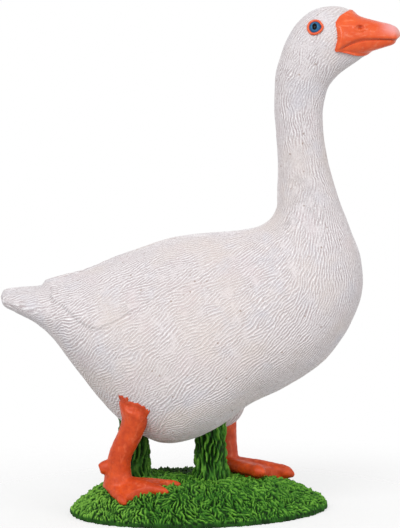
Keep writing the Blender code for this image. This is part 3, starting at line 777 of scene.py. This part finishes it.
def turned(x, y, degrees):
    cos, sin = math.cos(math.radians(degrees)), math.sin(math.radians(degrees))
    return x * cos - y * sin, x * sin + y * cos


def moundShare(x, y):
    along, across = turned(x, y, -mound["turn"])
    return np.hypot(along / (mound["length"] / 2), across / (mound["width"] / 2))


def moundHeight(x, y):
    top = mound["height"] - mound["fall"] * x
    slope = np.clip((moundShare(x, y) - mound["levelShare"]) / (1 - mound["levelShare"]), 0, 1)
    return mound["edge"] + (top - mound["edge"]) * (1 - slope ** mound["roundness"])


def moundPoint(share, angle):
    along = share * mound["length"] / 2 * np.cos(angle)
    across = share * mound["width"] / 2 * np.sin(angle)
    x, y = turned(along, across, mound["turn"])
    return xyz(x, y, moundHeight(x, y))


def bladeWay(points):
    x, y = points[..., 0], points[..., 1]
    swing = softNoise(points, 3.2, 6) + 0.9 * softNoise(points, 1.3, 7)
    angle = np.arctan2(y, x) + math.radians(mound["bladeSway"]) * 1.4 * swing
    return xyz(np.cos(angle), np.sin(angle), 0)


def makeMound(material):
    spacing = mound["vertexSpacing"]
    rim = math.pi * (mound["length"] + mound["width"]) / 2
    rings = int(mound["length"] / 2 / spacing)
    shares = (np.arange(rings) + 0.5) / rings
    shares = shares / shares[-1]
    counts = ringCounts(shares * rim, spacing, mound["fewestPoints"])
    points = moundPoint(np.repeat(shares, counts), np.concatenate([wholeTurn(n) for n in counts]))
    normals = pointNormals(points, *ringFaces(counts))
    ways = bladeWay(points)
    blades = carveBundles(points, normals, ways, mound["bladePitch"], mound["bladeReach"],
                          mound["bladeWander"])
    tufts = carveBundles(points + (7, 3, 0), normals, ways, mound["tuftPitch"], mound["tuftReach"],
                         mound["tuftWander"])[0]
    print("blades of grass carved")
    waves = evenOut(blades, mound["bladeSoftness"]) * (1.0 + 0.6 * softNoise(points, 0.8, 25))
    relief = mound["bladeHeight"] * np.clip(blades[0], -2.0, 2.4)
    relief = relief + mound["tuftHeight"] * np.clip(tufts, -2, 2)
    mark = asMark(blades[0] + 0.6 * tufts)
    # the near left side is the driest
    dry = 0.6 * ease((-points[:, 0] - 3) / 16) * ease((4 - points[:, 1]) / 8)
    dry = np.clip(dry + 0.35 * softNoise(points, 2.6, 21), 0, 1)
    points = points + normals * relief[:, None]
    # the rim rolls under and ends on the floor
    last = counts[-1]
    lastRing = points[-last:]
    outward = unit(lastRing * (1, 1, 0))
    under = []
    for down, out in mound["rimCurve"]:
        ring = lastRing + outward * out
        ring[:, 2] = lastRing[:, 2] * (1 - down)
        under.append(ring)
    under.append(lastRing * (0.02, 0.02, 0.0))
    points = np.concatenate([points, *under])
    added = len(under)
    counts = counts + [last] * added
    mark = np.concatenate([mark, 0.30 + 0.25 * softNoise(points[-added * last:], 0.8, 26)])
    waves = np.concatenate([waves, np.zeros((2, added * last))], 1)
    dry = np.concatenate([dry, np.tile(dry[-last:], added)])
    points[:, 2] = np.maximum(points[:, 2], 0)
    # the grass behind the gap stands in shadow
    shade = 0.75 * np.exp(-(((points[:, 0] + 4) / 4.5) ** 4) - (((points[:, 1] - 5.5) / 2.6) ** 4))
    addPiece("grassMound", points, *ringFaces(counts), material, "grass",
             {"relief": mark, "shade": shade, "dry": dry, "wave": waves[0], "drift": waves[1]})


clumps = {
    "rear": {"x": -11.1, "y": 0.6, "width": 4.5, "shade": 0.35},
    "front": {"x": 1.8, "y": 0.6, "width": 4.6, "shade": 0.10},
    "depth": 5.6,
    "sink": 1.5,
    "rise": 5.0,
    "flareUp": (0, 0.12, 0.3, 0.6, 1.0),
    "flare": (1.75, 1.35, 1.08, 1.0, 1.05),
    "bladePitch": 0.90,
    "bladeReach": 1.3,
    "bladeWander": 0.25,
    "bladeSoftness": 1.2,
    "bladeHeight": 0.20,
    "rows": 100,
    "columns": 140,
}


def makeClump(name, values, material):
    x, y = values["x"], values["y"]
    bottom = float(moundHeight(x, y)) - clumps["sink"]
    top = goose["bellyZ"] + clumps["rise"]
    rows, columns = clumps["rows"], clumps["columns"]
    up, angle = np.repeat(np.linspace(0, 1, rows), columns), np.tile(wholeTurn(columns), rows)
    flare = np.interp(up, clumps["flareUp"], clumps["flare"])
    out = xyz(np.cos(angle), np.sin(angle), 0)
    z = bottom + (top - bottom) * up
    points = out * xyz(flare * values["width"] / 2, flare * clumps["depth"] / 2, 0) + xyz(x, y, z)
    sway = 0.22 * np.sin(z * 0.9 + x + 2 * angle) + 0.35 * softNoise(points, 1.6, 9)
    way = xyz(-np.sin(angle) * sway, np.cos(angle) * sway, 1)
    blades = carveBundles(points, out, way, clumps["bladePitch"], clumps["bladeReach"],
                          clumps["bladeWander"])
    waves = evenOut(blades, clumps["bladeSoftness"])
    # coarser lumps on top, drawn out up and down
    lumps = 1.5 * softNoise(points * (1, 1, 0.35), 0.8, 10) + 0.8 * softNoise(points, 0.5, 27)
    relief = blades[0] + lumps
    points = points + out * (clumps["bladeHeight"] * np.clip(relief, -2, 2.4))[:, None]
    quads, triangles = ringFaces([columns] * rows)
    mark = asMark(relief)
    addPiece(name, points, quads[:, ::-1], triangles, material, "grass",
             {"relief": mark, "shade": mark * 0 + values["shade"], "dry": mark * 0,
              "wave": waves[0], "drift": waves[1]})


# legs and feet

legs = {
    "spacing": 14.6,
    "diameter": 3.3,
    "topShare": 0.27,  # how far up the body's depth the shank runs
    "heelBack": 1.2,
    # the toes' tips have their own lift and width: shares of a toe's diameter
    "rear": {"side": -1, "ankle": -13.6, "lean": 3.6, "splay": 1.0, "tipLift": 0.30, "tipWidth": 0.6},
    "front": {"side": 1, "ankle": 4.4, "lean": -0.3, "splay": 0.2, "tipLift": 0.72, "tipWidth": 0.95},
    "longestToe": 12.6,
    "toeDiameter": 1.9,
    "webThickness": 1.1,
    "webLift": (2.5, 2.0, 1.35),  # times that thickness, at the heel, half way and at the edge
    "webSink": 0.7,
    "hindToe": 2.7,
    "voxel": 0.19,
    "smoothing": 6,
    "grain": 0.04,
    # the feathers end on the near leg along a slanting line
    "featherX": -13.3,
    "featherZ": 21.5,
    "featherSlope": -0.52,
    "featherJag": 0.40,
    "featherFade": 2.6,
    "proud": 0.30,
    "dive": 1.2,
    "trimFrom": 15.5,
    "searchFrom": (6.9, -132),  # the station and the degrees from the spine where the search starts
}
# up the shank, forward, outward, thickness: shares of its rise, its lean, the ankle's place and its own
shankWay = [
    (0.02, 0.00, 0.98, 1.60),
    (0.20, 0.00, 1.00, 1.27),
    (0.36, 0.11, 1.08, 1.17),
    (0.53, 0.47, 1.14, 1.20),
    (0.72, 0.77, 1.22, 1.33),
    (0.86, 0.80, 1.25, 1.60),
    (1.00, 0.76, 1.15, 1.70),
]
# degrees outward, length as a share of the longest toe, how deep it sinks into the grass
rearToes = [(0, 0.93, 1.35), (23, 0.83, 0.75), (65, 0.46, 0.65)]
frontToes = [(-46, 0.88, 0.0), (-4, 1.03, 0.0), (26, 0.84, 0.0)]


def tubeMesh(path, diameters, sides=24, rings=28):
    path = np.asarray(path, float)
    knots = np.concatenate([[0], np.cumsum(np.linalg.norm(np.diff(path, axis=0), axis=1))])
    at = np.linspace(0, knots[-1], rings)
    line = np.stack([smoothCurve(knots, column, at) for column in path.T], 1)
    width = smoothCurve(knots, diameters, at) / 2
    way = unit(np.gradient(line, axis=0))
    side = unit(np.cross(way, (0.0, 0.0, 1.0) if abs(way[0, 2]) < 0.9 else (0.0, 1.0, 0.0)))
    lift = np.cross(side, way)
    turn = wholeTurn(sides)[None, :, None]
    loops = np.cos(turn) * side[:, None] + np.sin(turn) * lift[:, None]
    points = line[:, None] + loops * width[:, None, None]
    # each end closes in its middle
    start, end = (np.repeat(spot[None, None], sides, 1) for spot in (line[0], line[-1]))
    points = np.concatenate([start, points, end])
    return points.reshape(-1, 3), ringFaces([sides] * len(points))[0]


def webMesh(heel, tips, sinks):
    # a thick sheet from the heel to an edge that curves in between the toes
    edge = []
    steps = (0.0, 0.2, 0.4, 0.6, 0.8)
    places = np.linspace(0, len(tips) - 1, len(steps) * (len(tips) - 1) + 1)
    sink = np.interp(places, np.arange(len(tips)), sinks)
    for a, b in zip(tips, tips[1:]):
        for share in steps:
            spot = a + (b - a) * share
            edge.append(spot + (heel - spot) * 0.13 * math.sin(math.pi * share))
    edge.append(tips[-1])
    shares = np.linspace(0.02, 1.0, 9)
    rows = np.array([[heel + (spot - heel) * share for spot in edge] for share in shares])
    ground = moundHeight(rows[..., 0], rows[..., 1])
    lift = np.interp(shares, (0, 0.5, 1.0), legs["webLift"]) * legs["webThickness"]
    top = rows.copy()
    top[..., 2] = ground + lift[:, None] - legs["webSink"] * sink * np.minimum(shares / 0.4, 1)[:, None]
    low = rows.copy()
    low[..., 2] = ground - 0.9
    n, m = rows.shape[:2]
    index = np.arange(n * m).reshape(n, m)
    faces = np.stack([index[:-1, :-1], index[1:, :-1], index[1:, 1:], index[:-1, 1:]], -1).reshape(-1, 4)
    quads = [faces, faces[:, ::-1] + n * m]
    border = np.concatenate([index[0, :-1], index[:-1, -1], index[-1, :0:-1], index[:0:-1, 0]])
    after = np.roll(border, -1)
    quads.append(np.stack([border, after, after + n * m, border + n * m], 1))
    return np.concatenate([top.reshape(-1, 3), low.reshape(-1, 3)]), np.concatenate(quads)


def blendSolids(solids, voxel, smoothing):
    # one smooth skin round solids that run into each other
    points = np.concatenate([each[0] for each in solids])
    offsets = np.cumsum([0] + [len(each[0]) for each in solids])
    quads = np.concatenate([each[1] + offset for each, offset in zip(solids, offsets)])
    mesh = bpy.data.meshes.new("blend")
    mesh.from_pydata(points.tolist(), [], quads.tolist())
    mesh.validate()
    lump = bpy.data.objects.new("blend", mesh)
    bpy.context.scene.collection.objects.link(lump)
    skin = lump.modifiers.new("skin", "REMESH")
    skin.mode = "VOXEL"
    skin.voxel_size = voxel
    soften = lump.modifiers.new("soften", "SMOOTH")
    soften.factor = 0.5
    soften.iterations = smoothing
    bpy.context.view_layer.update()
    made = bpy.data.meshes.new_from_object(lump.evaluated_get(bpy.context.evaluated_depsgraph_get()))
    bpy.data.objects.remove(lump, do_unlink=True)
    spots = np.empty(len(made.vertices) * 3)
    normals = np.empty(len(made.vertices) * 3, np.float32)
    made.vertices.foreach_get("co", spots)
    made.vertices.foreach_get("normal", normals)
    return made, spots.reshape(-1, 3), normals.reshape(-1, 3)


def trimAtFeathers(spots, normals):
    # the near leg's top lies on the skin, a little proud of it, and dives under at the feathers
    top = (spots[:, 2] > legs["trimFrom"]) & (normals[:, 1] < -0.1)
    x, y, z = spots[top].T
    station, degrees = legs["searchFrom"]
    skin, _ = findOnSkin(x, z, x * 0 + station, x * 0 + math.radians(degrees))
    line = legs["featherZ"] + legs["featherSlope"] * (x - legs["featherX"])
    line = line + legs["featherJag"] * softNoise(spots[top], 0.7, 23)
    line = line + 0.25 * softNoise(spots[top], 0.35, 24)
    wanted = skin[:, 1] - legs["proud"] + legs["dive"] * ease((z - line) / 0.4 + 0.5)
    share = ease(1 - (line - z) / legs["featherFade"]) * ease((-normals[top, 1] - 0.1) / 0.25)
    spots[top, 1] = y + (wanted - y) * share
    return spots


def makeLeg(name, values, toes, material):
    side, ankleX, lean = values["side"], values["ankle"], values["lean"]
    ankleY = side * legs["spacing"] / 2
    ground = float(moundHeight(ankleX, ankleY))
    rise = goose["bellyZ"] + legs["topShare"] * goose["bodyDepth"] - ground
    solids = []
    shank = []
    for up, forward, outward, _ in shankWay:
        aside = 1 + (outward - 1) * values["splay"]
        shank.append((ankleX + forward * lean, ankleY * aside, ground + up * rise))
    solids.append(tubeMesh(shank, [legs["diameter"] * row[3] for row in shankWay]))
    heel = np.array([ankleX - legs["heelBack"], ankleY, 0.0])
    tips = []
    wide = legs["toeDiameter"]
    for outward, share, sink in toes:
        heading = side * math.radians(outward)
        reach = np.array([math.cos(heading), math.sin(heading), 0]) * share * legs["longestToe"]
        path = []
        for part in (0.0, 0.35, 0.7, 0.94, 1.0):
            x, y, _ = heel + reach * part
            lift = wide * (0.75 + (values["tipLift"] - 0.75) * part)
            lift = lift - sink * min(part / 0.35, 1) * (1 - 0.5 * part)
            path.append((x, y, float(moundHeight(x, y)) + lift))
        end = wide * values["tipWidth"]
        widths = (wide * 1.5, wide * 1.2, (wide * 1.2 + end) / 2, end, end * 0.4)
        solids.append(tubeMesh(path, widths, 20, 20))
        tips.append(heel + reach * 0.9)
    start = np.array([ankleX - 0.4, ankleY, ground + 0.22 * rise])
    end = start + (-legs["hindToe"], side * 0.4, -0.3)
    middle = (start + end) / 2 + (0, 0, 0.25)
    solids.append(tubeMesh([start, middle, end], (wide, wide * 1.3, wide * 0.95), 20, 12))
    solids.append(webMesh(heel, tips, [toe[2] for toe in toes]))
    mesh, spots, normals = blendSolids(solids, legs["voxel"], legs["smoothing"])
    if side < 0:
        spots = trimAtFeathers(spots, normals)
    bumps = softNoise(spots, 0.45, 12) + 0.6 * softNoise(spots, 0.9, 13)
    spots = spots + normals * (legs["grain"] * bumps)[:, None]
    mesh.vertices.foreach_set("co", toWorld(spots).ravel())
    mesh.name = name
    # the low spots between the bumps are painted dark, a painted shade
    hollowShade = np.clip(-0.5 - bumps, 0, 1) * 0.35
    marks = {"pale": bumps * 0, "nail": bumps * 0, "recessShade": hollowShade}
    finishPiece(name, mesh, material, marks)


# bill

bill = {
    "length": 10.8,
    "height": 7.4,
    "width": 8.4,
    "backShare": 0.647,  # where its back end lies along the head
    "bottomShare": 0.35,  # and its underside up the head
    "crease": 0.30,
    "creaseWidth": 0.05,
    "tipFrom": 0.9,
    "nostrilX": 0.36,
    "nostrilZ": 0.68,
    "nostrilLength": 0.55,
    "nostrilHeight": 0.30,
    "nostrilDepth": 0.45,
    "nostrilRim": 0.16,
    "backRim": 0.42,  # how far the bill stands out of the feathers
    "collar": ((0.9, 1.6), (0.5, 0.7), (0.2, 0.25)),  # its hidden rings: how far back, how much narrower
    # the pink painted highlight on the top: where it starts along the bill, over how much it grows, how
    # strong it gets
    "pinkFrom": 0.60,
    "pinkOver": 0.28,
    "pinkMost": 0.85,
    "nailFrom": 0.90,
    "nailMost": 0.5,
    "rings": 120,
    "columns": 160,
}
# place, upper edge, mouth line, half width: shares of the bill's length, height and width
upperBill = [
    (0.000, 0.944, 0.150, 0.98),
    (0.139, 1.000, 0.255, 1.00),
    (0.250, 1.000, 0.340, 0.95),
    (0.370, 0.917, 0.392, 0.86),
    (0.528, 0.847, 0.405, 0.76),
    (0.676, 0.792, 0.405, 0.67),
    (0.833, 0.736, 0.400, 0.56),
    (0.926, 0.675, 0.395, 0.45),
    (0.995, 0.610, 0.410, 0.34),
]
lowerBill = [
    (0.005, 0.120, 0.150, 0.92),
    (0.139, 0.080, 0.255, 0.93),
    (0.270, 0.055, 0.340, 0.87),
    (0.435, 0.080, 0.395, 0.77),
    (0.593, 0.150, 0.405, 0.66),
    (0.741, 0.215, 0.403, 0.54),
    (0.861, 0.270, 0.398, 0.42),
    (0.925, 0.310, 0.396, 0.34),
]
# where the feathers end: degrees round from the top, x
billEdge = [(0, 24.9), (22, 23.7), (30, 22.8), (43, 22.4), (59, 22.85), (73, 23.05),
            (87, 22.7), (110, 22.6), (125, 22.9), (140, 24.2), (160, 26.0), (180, 27.4)]


def makeBill(material):
    startX = napeX + bill["backShare"] * goose["headLength"]
    startZ = throatZ + bill["bottomShare"] * goose["headHeight"]
    columns, rings = bill["columns"], bill["rings"]
    long, high, wide = bill["length"], bill["height"], bill["width"]
    turn = (np.arange(columns) + 0.5) * 2 * math.pi / columns
    degrees = np.degrees(np.minimum(turn, 2 * math.pi - turn))
    edgeX = smoothCurve(*zip(*billEdge), degrees)
    reach = startX + long * np.where(degrees < 90, upperBill[-1][0], lowerBill[-1][0])
    parts = 1 - (1 - np.linspace(0, 1, rings)) ** 1.3
    x = edgeX + (reach - edgeX) * parts[:, None]
    share = (x - startX) / long
    shapes = []
    for table in (upperBill, lowerBill):
        place, *columnsOf = zip(*table)
        at = np.clip(share, place[0], place[-1])
        shapes.append([smoothCurve(place, column, at) for column in columnsOf])
    edge, mouth, half = (np.where(degrees < 90, a, b) for a, b in zip(*shapes))
    up = np.cos(turn)[None]
    out = np.sign(np.sin(turn)) * np.abs(np.sin(turn)) ** np.where(degrees < 90, 0.8, 0.5)
    z = startZ + high * (mouth + (edge - mouth) * np.abs(up) ** 0.9)
    y = half * wide / 2 * out
    # the two halves meet in a crease
    groove = bell(np.abs(up), 0, bill["creaseWidth"]) * ease(x - edgeX)
    y = y * (1 - bill["crease"] / np.maximum(half * wide / 2, 0.6) * groove)
    # round tips
    towardsTip = np.clip((parts[:, None] - bill["tipFrom"]) / (1 - bill["tipFrom"]), 0, 1)
    tipFade = np.sqrt(1 - towardsTip**2)
    middleZ = startZ + high * (mouth * 0.5 + edge * 0.5)
    y = y * (0.03 + 0.97 * tipFade)
    z = middleZ + (z - middleZ) * (0.05 + 0.95 * tipFade)
    points = xyz(x, y, z)
    # rounded rim that rises out of the feathers
    rise = bell((x - edgeX) / 0.7, 0.5, 1) * bill["backRim"]
    outward = xyz(0, y, z - (startZ + high * mouth))
    points = points + unit(outward) * rise[..., None]
    collar = []
    for back, shrink in bill["collar"]:
        ring = points[0].copy()
        ring[:, 0] -= back
        ring = ring - unit(outward[0]) * shrink
        collar.append(ring)
    tips = (points[-1][these].mean(0) for these in (degrees < 90, degrees > 90))
    tip = np.where((degrees < 90)[:, None], *tips)
    points = np.concatenate([np.array(collar), points, tip[None]])
    # nostril: a slit with a raised rim
    holeX = startX + bill["nostrilX"] * long
    holeZ = startZ + bill["nostrilZ"] * high
    slit = np.hypot((points[..., 0] - holeX) / bill["nostrilLength"],
                    (points[..., 2] - holeZ) / bill["nostrilHeight"])
    dent = bill["nostrilRim"] * bell(slit, 1.7, 0.5) - bill["nostrilDepth"] * bell(slit, 0, 1)
    near = np.abs(points[..., 1]) > 0.8
    points[..., 1] += np.sign(points[..., 1]) * dent * near
    flat = points.reshape(-1, 3)
    grain = softNoise(flat, 0.5, 14)
    quads, triangles = ringFaces([columns] * len(points))
    flat = flat + pointNormals(flat, quads, triangles) * (0.02 * grain)[:, None]
    # towards the tip the top of the bill goes pink and pale, a painted highlight, and it is painted dark
    # in the nostril and the creases, a painted shade
    topShare = np.tile(ease(1.5 * up[0] - 0.15), len(points))
    along = (flat[:, 0] - startX) / long
    pale = bill["pinkMost"] * topShare * ease((along - bill["pinkFrom"]) / bill["pinkOver"])
    nail = bill["nailMost"] * ease((along - bill["nailFrom"]) * long / 0.8)
    nail = nail * (flat[:, 2] > startZ + 0.42 * high)
    # the nostril and the crease between the halves are painted dark, a painted shade
    hole = (bell(slit, 0, 0.8) * near).ravel()
    hidden = np.zeros((len(collar), columns))
    crease = np.concatenate([hidden, groove, np.zeros((1, columns))]).ravel() * 0.5
    recessShade = np.clip(np.maximum(hole * 0.8, crease), 0, 1)
    addPiece("bill", flat, quads, triangles, material, "bill_and_legs",
             {"pale": pale, "nail": nail, "recessShade": recessShade})


# eyes

eyes = {
    "x": 19.0,
    "z": 81.6,
    "ringLength": 2.75,
    "ringHeight": 2.72,
    "ringTube": 0.21,
    "ringLift": 0.12,
    "irisRadius": 1.225,  # it runs on under the eyelid
    "pupilWidth": 0.90,
    "pupilHeight": 1.15,
    "bulge": 0.5,
    "searchFrom": (24.4, 54),  # the station and the degrees from the spine where the search starts
}


def makeDome(name, place, forward, upward, out, rise, base, material):
    # round cap over a disc, with its rim sunk below the base
    rings, columns = 24, 64
    share = np.repeat(np.linspace(0.02, 1.0, rings), columns)[:, None]
    angle = np.tile(wholeTurn(columns), rings)[:, None]
    points = place + share * (np.cos(angle) * forward + np.sin(angle) * upward)
    points = points + (base + rise * (1 - share**2)) * out
    quads, _ = ringFaces([columns] * rings)
    lid = lidFaces(columns)
    if (pointNormals(points, quads, lid) * out).sum() < 0:
        quads, lid = quads[:, ::-1], lid[:, ::-1]
    addPiece(name, points, quads, lid, material, "eyes", {"rim": share[:, 0]})


def makeEye(side, orange, blue, black):
    word = "Left" if side > 0 else "Right"
    station, degrees = eyes["searchFrom"]
    place, out = findOnSkin(eyes["x"], eyes["z"], station, side * math.radians(degrees))
    forward = unit(np.array([1.0, 0, 0]) - out * out[0])
    upward = unit(np.cross(forward, out))
    if upward[2] < 0:
        upward = -upward
    columns, around = 96, 28
    angle, turn = wholeTurn(columns)[:, None], wholeTurn(around)[:, None]
    # the eyelid has a corner in front and a slighter one low behind
    corners = 0.10 * bell(angle, math.radians(352), 0.4) + 0.10 * bell(angle, 0, 0.3)
    corners = corners + 0.06 * bell(angle, math.radians(245), 0.4)
    long, high = (eyes[key] / 2 - eyes["ringTube"] for key in ("ringLength", "ringHeight"))
    flat = (1 + corners) * (long * np.cos(angle) * forward + high * np.sin(angle) * upward)
    loop = np.cos(turn) * unit(flat)[:, None] + 0.9 * np.sin(turn) * out
    middle = place + eyes["ringLift"] * out + flat
    points = (middle[:, None] + eyes["ringTube"] * loop).reshape(-1, 3)
    quads, triangles = ringFaces([around] * (columns + 1))
    quads = quads % len(points)
    if (pointNormals(points, quads, triangles) * loop.reshape(-1, 3)).sum() < 0:
        quads = quads[:, ::-1]
    marks = dict.fromkeys(("pale", "nail", "recessShade"), np.zeros(len(points)))
    addPiece("eyelid" + word, points, quads, triangles, orange, "bill_and_legs", marks)
    iris, wide, tall = eyes["irisRadius"], eyes["pupilWidth"] / 2, eyes["pupilHeight"] / 2
    makeDome("iris" + word, place, forward * iris, upward * iris, out, eyes["bulge"], -0.02, blue)
    makeDome("pupil" + word, place, forward * wide, upward * tall, out, 0.12, eyes["bulge"] - 0.10, black)


# studio

studio = {
    "distance": 550.0,
    "elevation": 6.5,
    "aimZ": 41.86,
    "lens": 223.7,
    "sensorHeight": 36.0,
    "floorColours": ((0.9555, 0.9555, 0.9555, 1), (0.97, 0.97, 0.97, 1)),
    "floorSide": 3.0,  # metres, wide enough to fill the view behind the goose
    "floorFront": 2.0,
    "floorBack": 6.0,
    "floorMelt": (0.0225, 0.075),  # metres, where it starts to melt into the white behind it, and ends
    "floorGlow": 0.58,  # how much of that white the floor shows even under the goose
    "worldStrength": 0.55,
    "lamps": {"keyLamp": ((-0.30, -0.75, 0.60), 1.68), "fillLamp": ((0.65, -0.55, 0.35), 0.62)},
    "lampSoftness": 32.0,
}


def makeFloor():
    side, front, back = studio["floorSide"], studio["floorFront"], studio["floorBack"]
    mesh = bpy.data.meshes.new("studioFloor")
    corners = [(-side, -front, 0), (side, -front, 0), (side, back, 0), (-side, back, 0)]
    mesh.from_pydata(corners, [], [(0, 1, 2, 3)])
    material, tree, shader, place = newPaint("paper")
    shade = spread(tree, speckle(tree, place, 3.0), 0.3, 0.7)
    tree.links.new(mixColours(tree, shade, *studio["floorColours"]), shader.inputs["Base Color"])
    shader.inputs["Roughness"].default_value = 0.9
    away = addNode(tree, "VectorMath", {0: place}, operation="LENGTH").outputs["Value"]
    melt = spread(tree, away, *studio["floorMelt"], studio["floorGlow"], 1.0)
    clear = addNode(tree, "BsdfTransparent").outputs[0]
    mixed = addNode(tree, "MixShader", {0: melt, 1: shader.outputs[0], 2: clear})
    tree.links.new(mixed.outputs[0], tree.nodes["Material Output"].inputs["Surface"])
    mesh.materials.append(material)
    floor = bpy.data.objects.new("studioFloor", mesh)
    bpy.context.scene.collection.objects.link(floor)


def makeLight():
    scene = bpy.context.scene
    for name, (toLamp, strength) in studio["lamps"].items():
        light = bpy.data.lights.new(name, "SUN")
        light.energy = strength
        light.angle = math.radians(studio["lampSoftness"])
        lamp = bpy.data.objects.new(name, light)
        scene.collection.objects.link(lamp)
        lamp.rotation_euler = Vector(toLamp).to_track_quat("Z", "Y").to_euler()
    scene.world = bpy.data.worlds.new("studioLight")
    scene.world.use_nodes = True
    tree = scene.world.node_tree
    soft = tree.nodes["Background"]
    soft.inputs["Color"].default_value = (1, 1, 1, 1)
    soft.inputs["Strength"].default_value = studio["worldStrength"]
    # what is seen of it, straight on or mirrored, is plain white
    seen = addNode(tree, "Background", {"Color": (1, 1, 1, 1), "Strength": 1.0})
    rays = addNode(tree, "LightPath").outputs
    isSeen = rays["Is Camera Ray"]
    for kind in ("Is Glossy Ray", "Is Transmission Ray"):
        isSeen = maths(tree, "MAXIMUM", isSeen, rays[kind])
    both = addNode(tree, "MixShader", {0: isSeen, 1: soft.outputs[0], 2: seen.outputs[0]})
    tree.links.new(both.outputs[0], tree.nodes["World Output"].inputs["Surface"])


def makeCamera():
    scene = bpy.context.scene
    lens = bpy.data.cameras.new("camera")
    lens.lens = studio["lens"]
    lens.sensor_fit = "VERTICAL"
    lens.sensor_height = studio["sensorHeight"]
    lens.clip_end = 20
    camera = bpy.data.objects.new("camera", lens)
    scene.collection.objects.link(camera)
    tilt, aimZ, away = math.radians(studio["elevation"]), studio["aimZ"], studio["distance"]
    camera.location = toWorld((0, -away * math.cos(tilt), aimZ + away * math.sin(tilt)))
    toGoose = Vector(toWorld((0, 0, aimZ))) - camera.location
    camera.rotation_euler = toGoose.to_track_quat("-Z", "Y").to_euler()
    scene.camera = camera
    scene.view_settings.view_transform = "Standard"


white, green = paintPlumage(), paintGrass()
billOrange, legOrange = paintOrange("orangeBill", billPaint), paintOrange("orangeLegs", legPaint)
blue, black = paintEye("blueIris", irisPaint), paintEye("blackPupil", pupilPaint)
print("paints mixed")
makePlumage(white)
makeMound(green)
makeClump("rearGrassClump", clumps["rear"], green)
makeClump("frontGrassClump", clumps["front"], green)
makeLeg("rearLeg", legs["rear"], rearToes, legOrange)
makeLeg("frontLeg", legs["front"], frontToes, legOrange)
makeBill(billOrange)
for side in (-1, 1):
    makeEye(side, billOrange, blue, black)
print("goose finished")
makeFloor()
makeLight()
makeCamera()
print("studio set up")
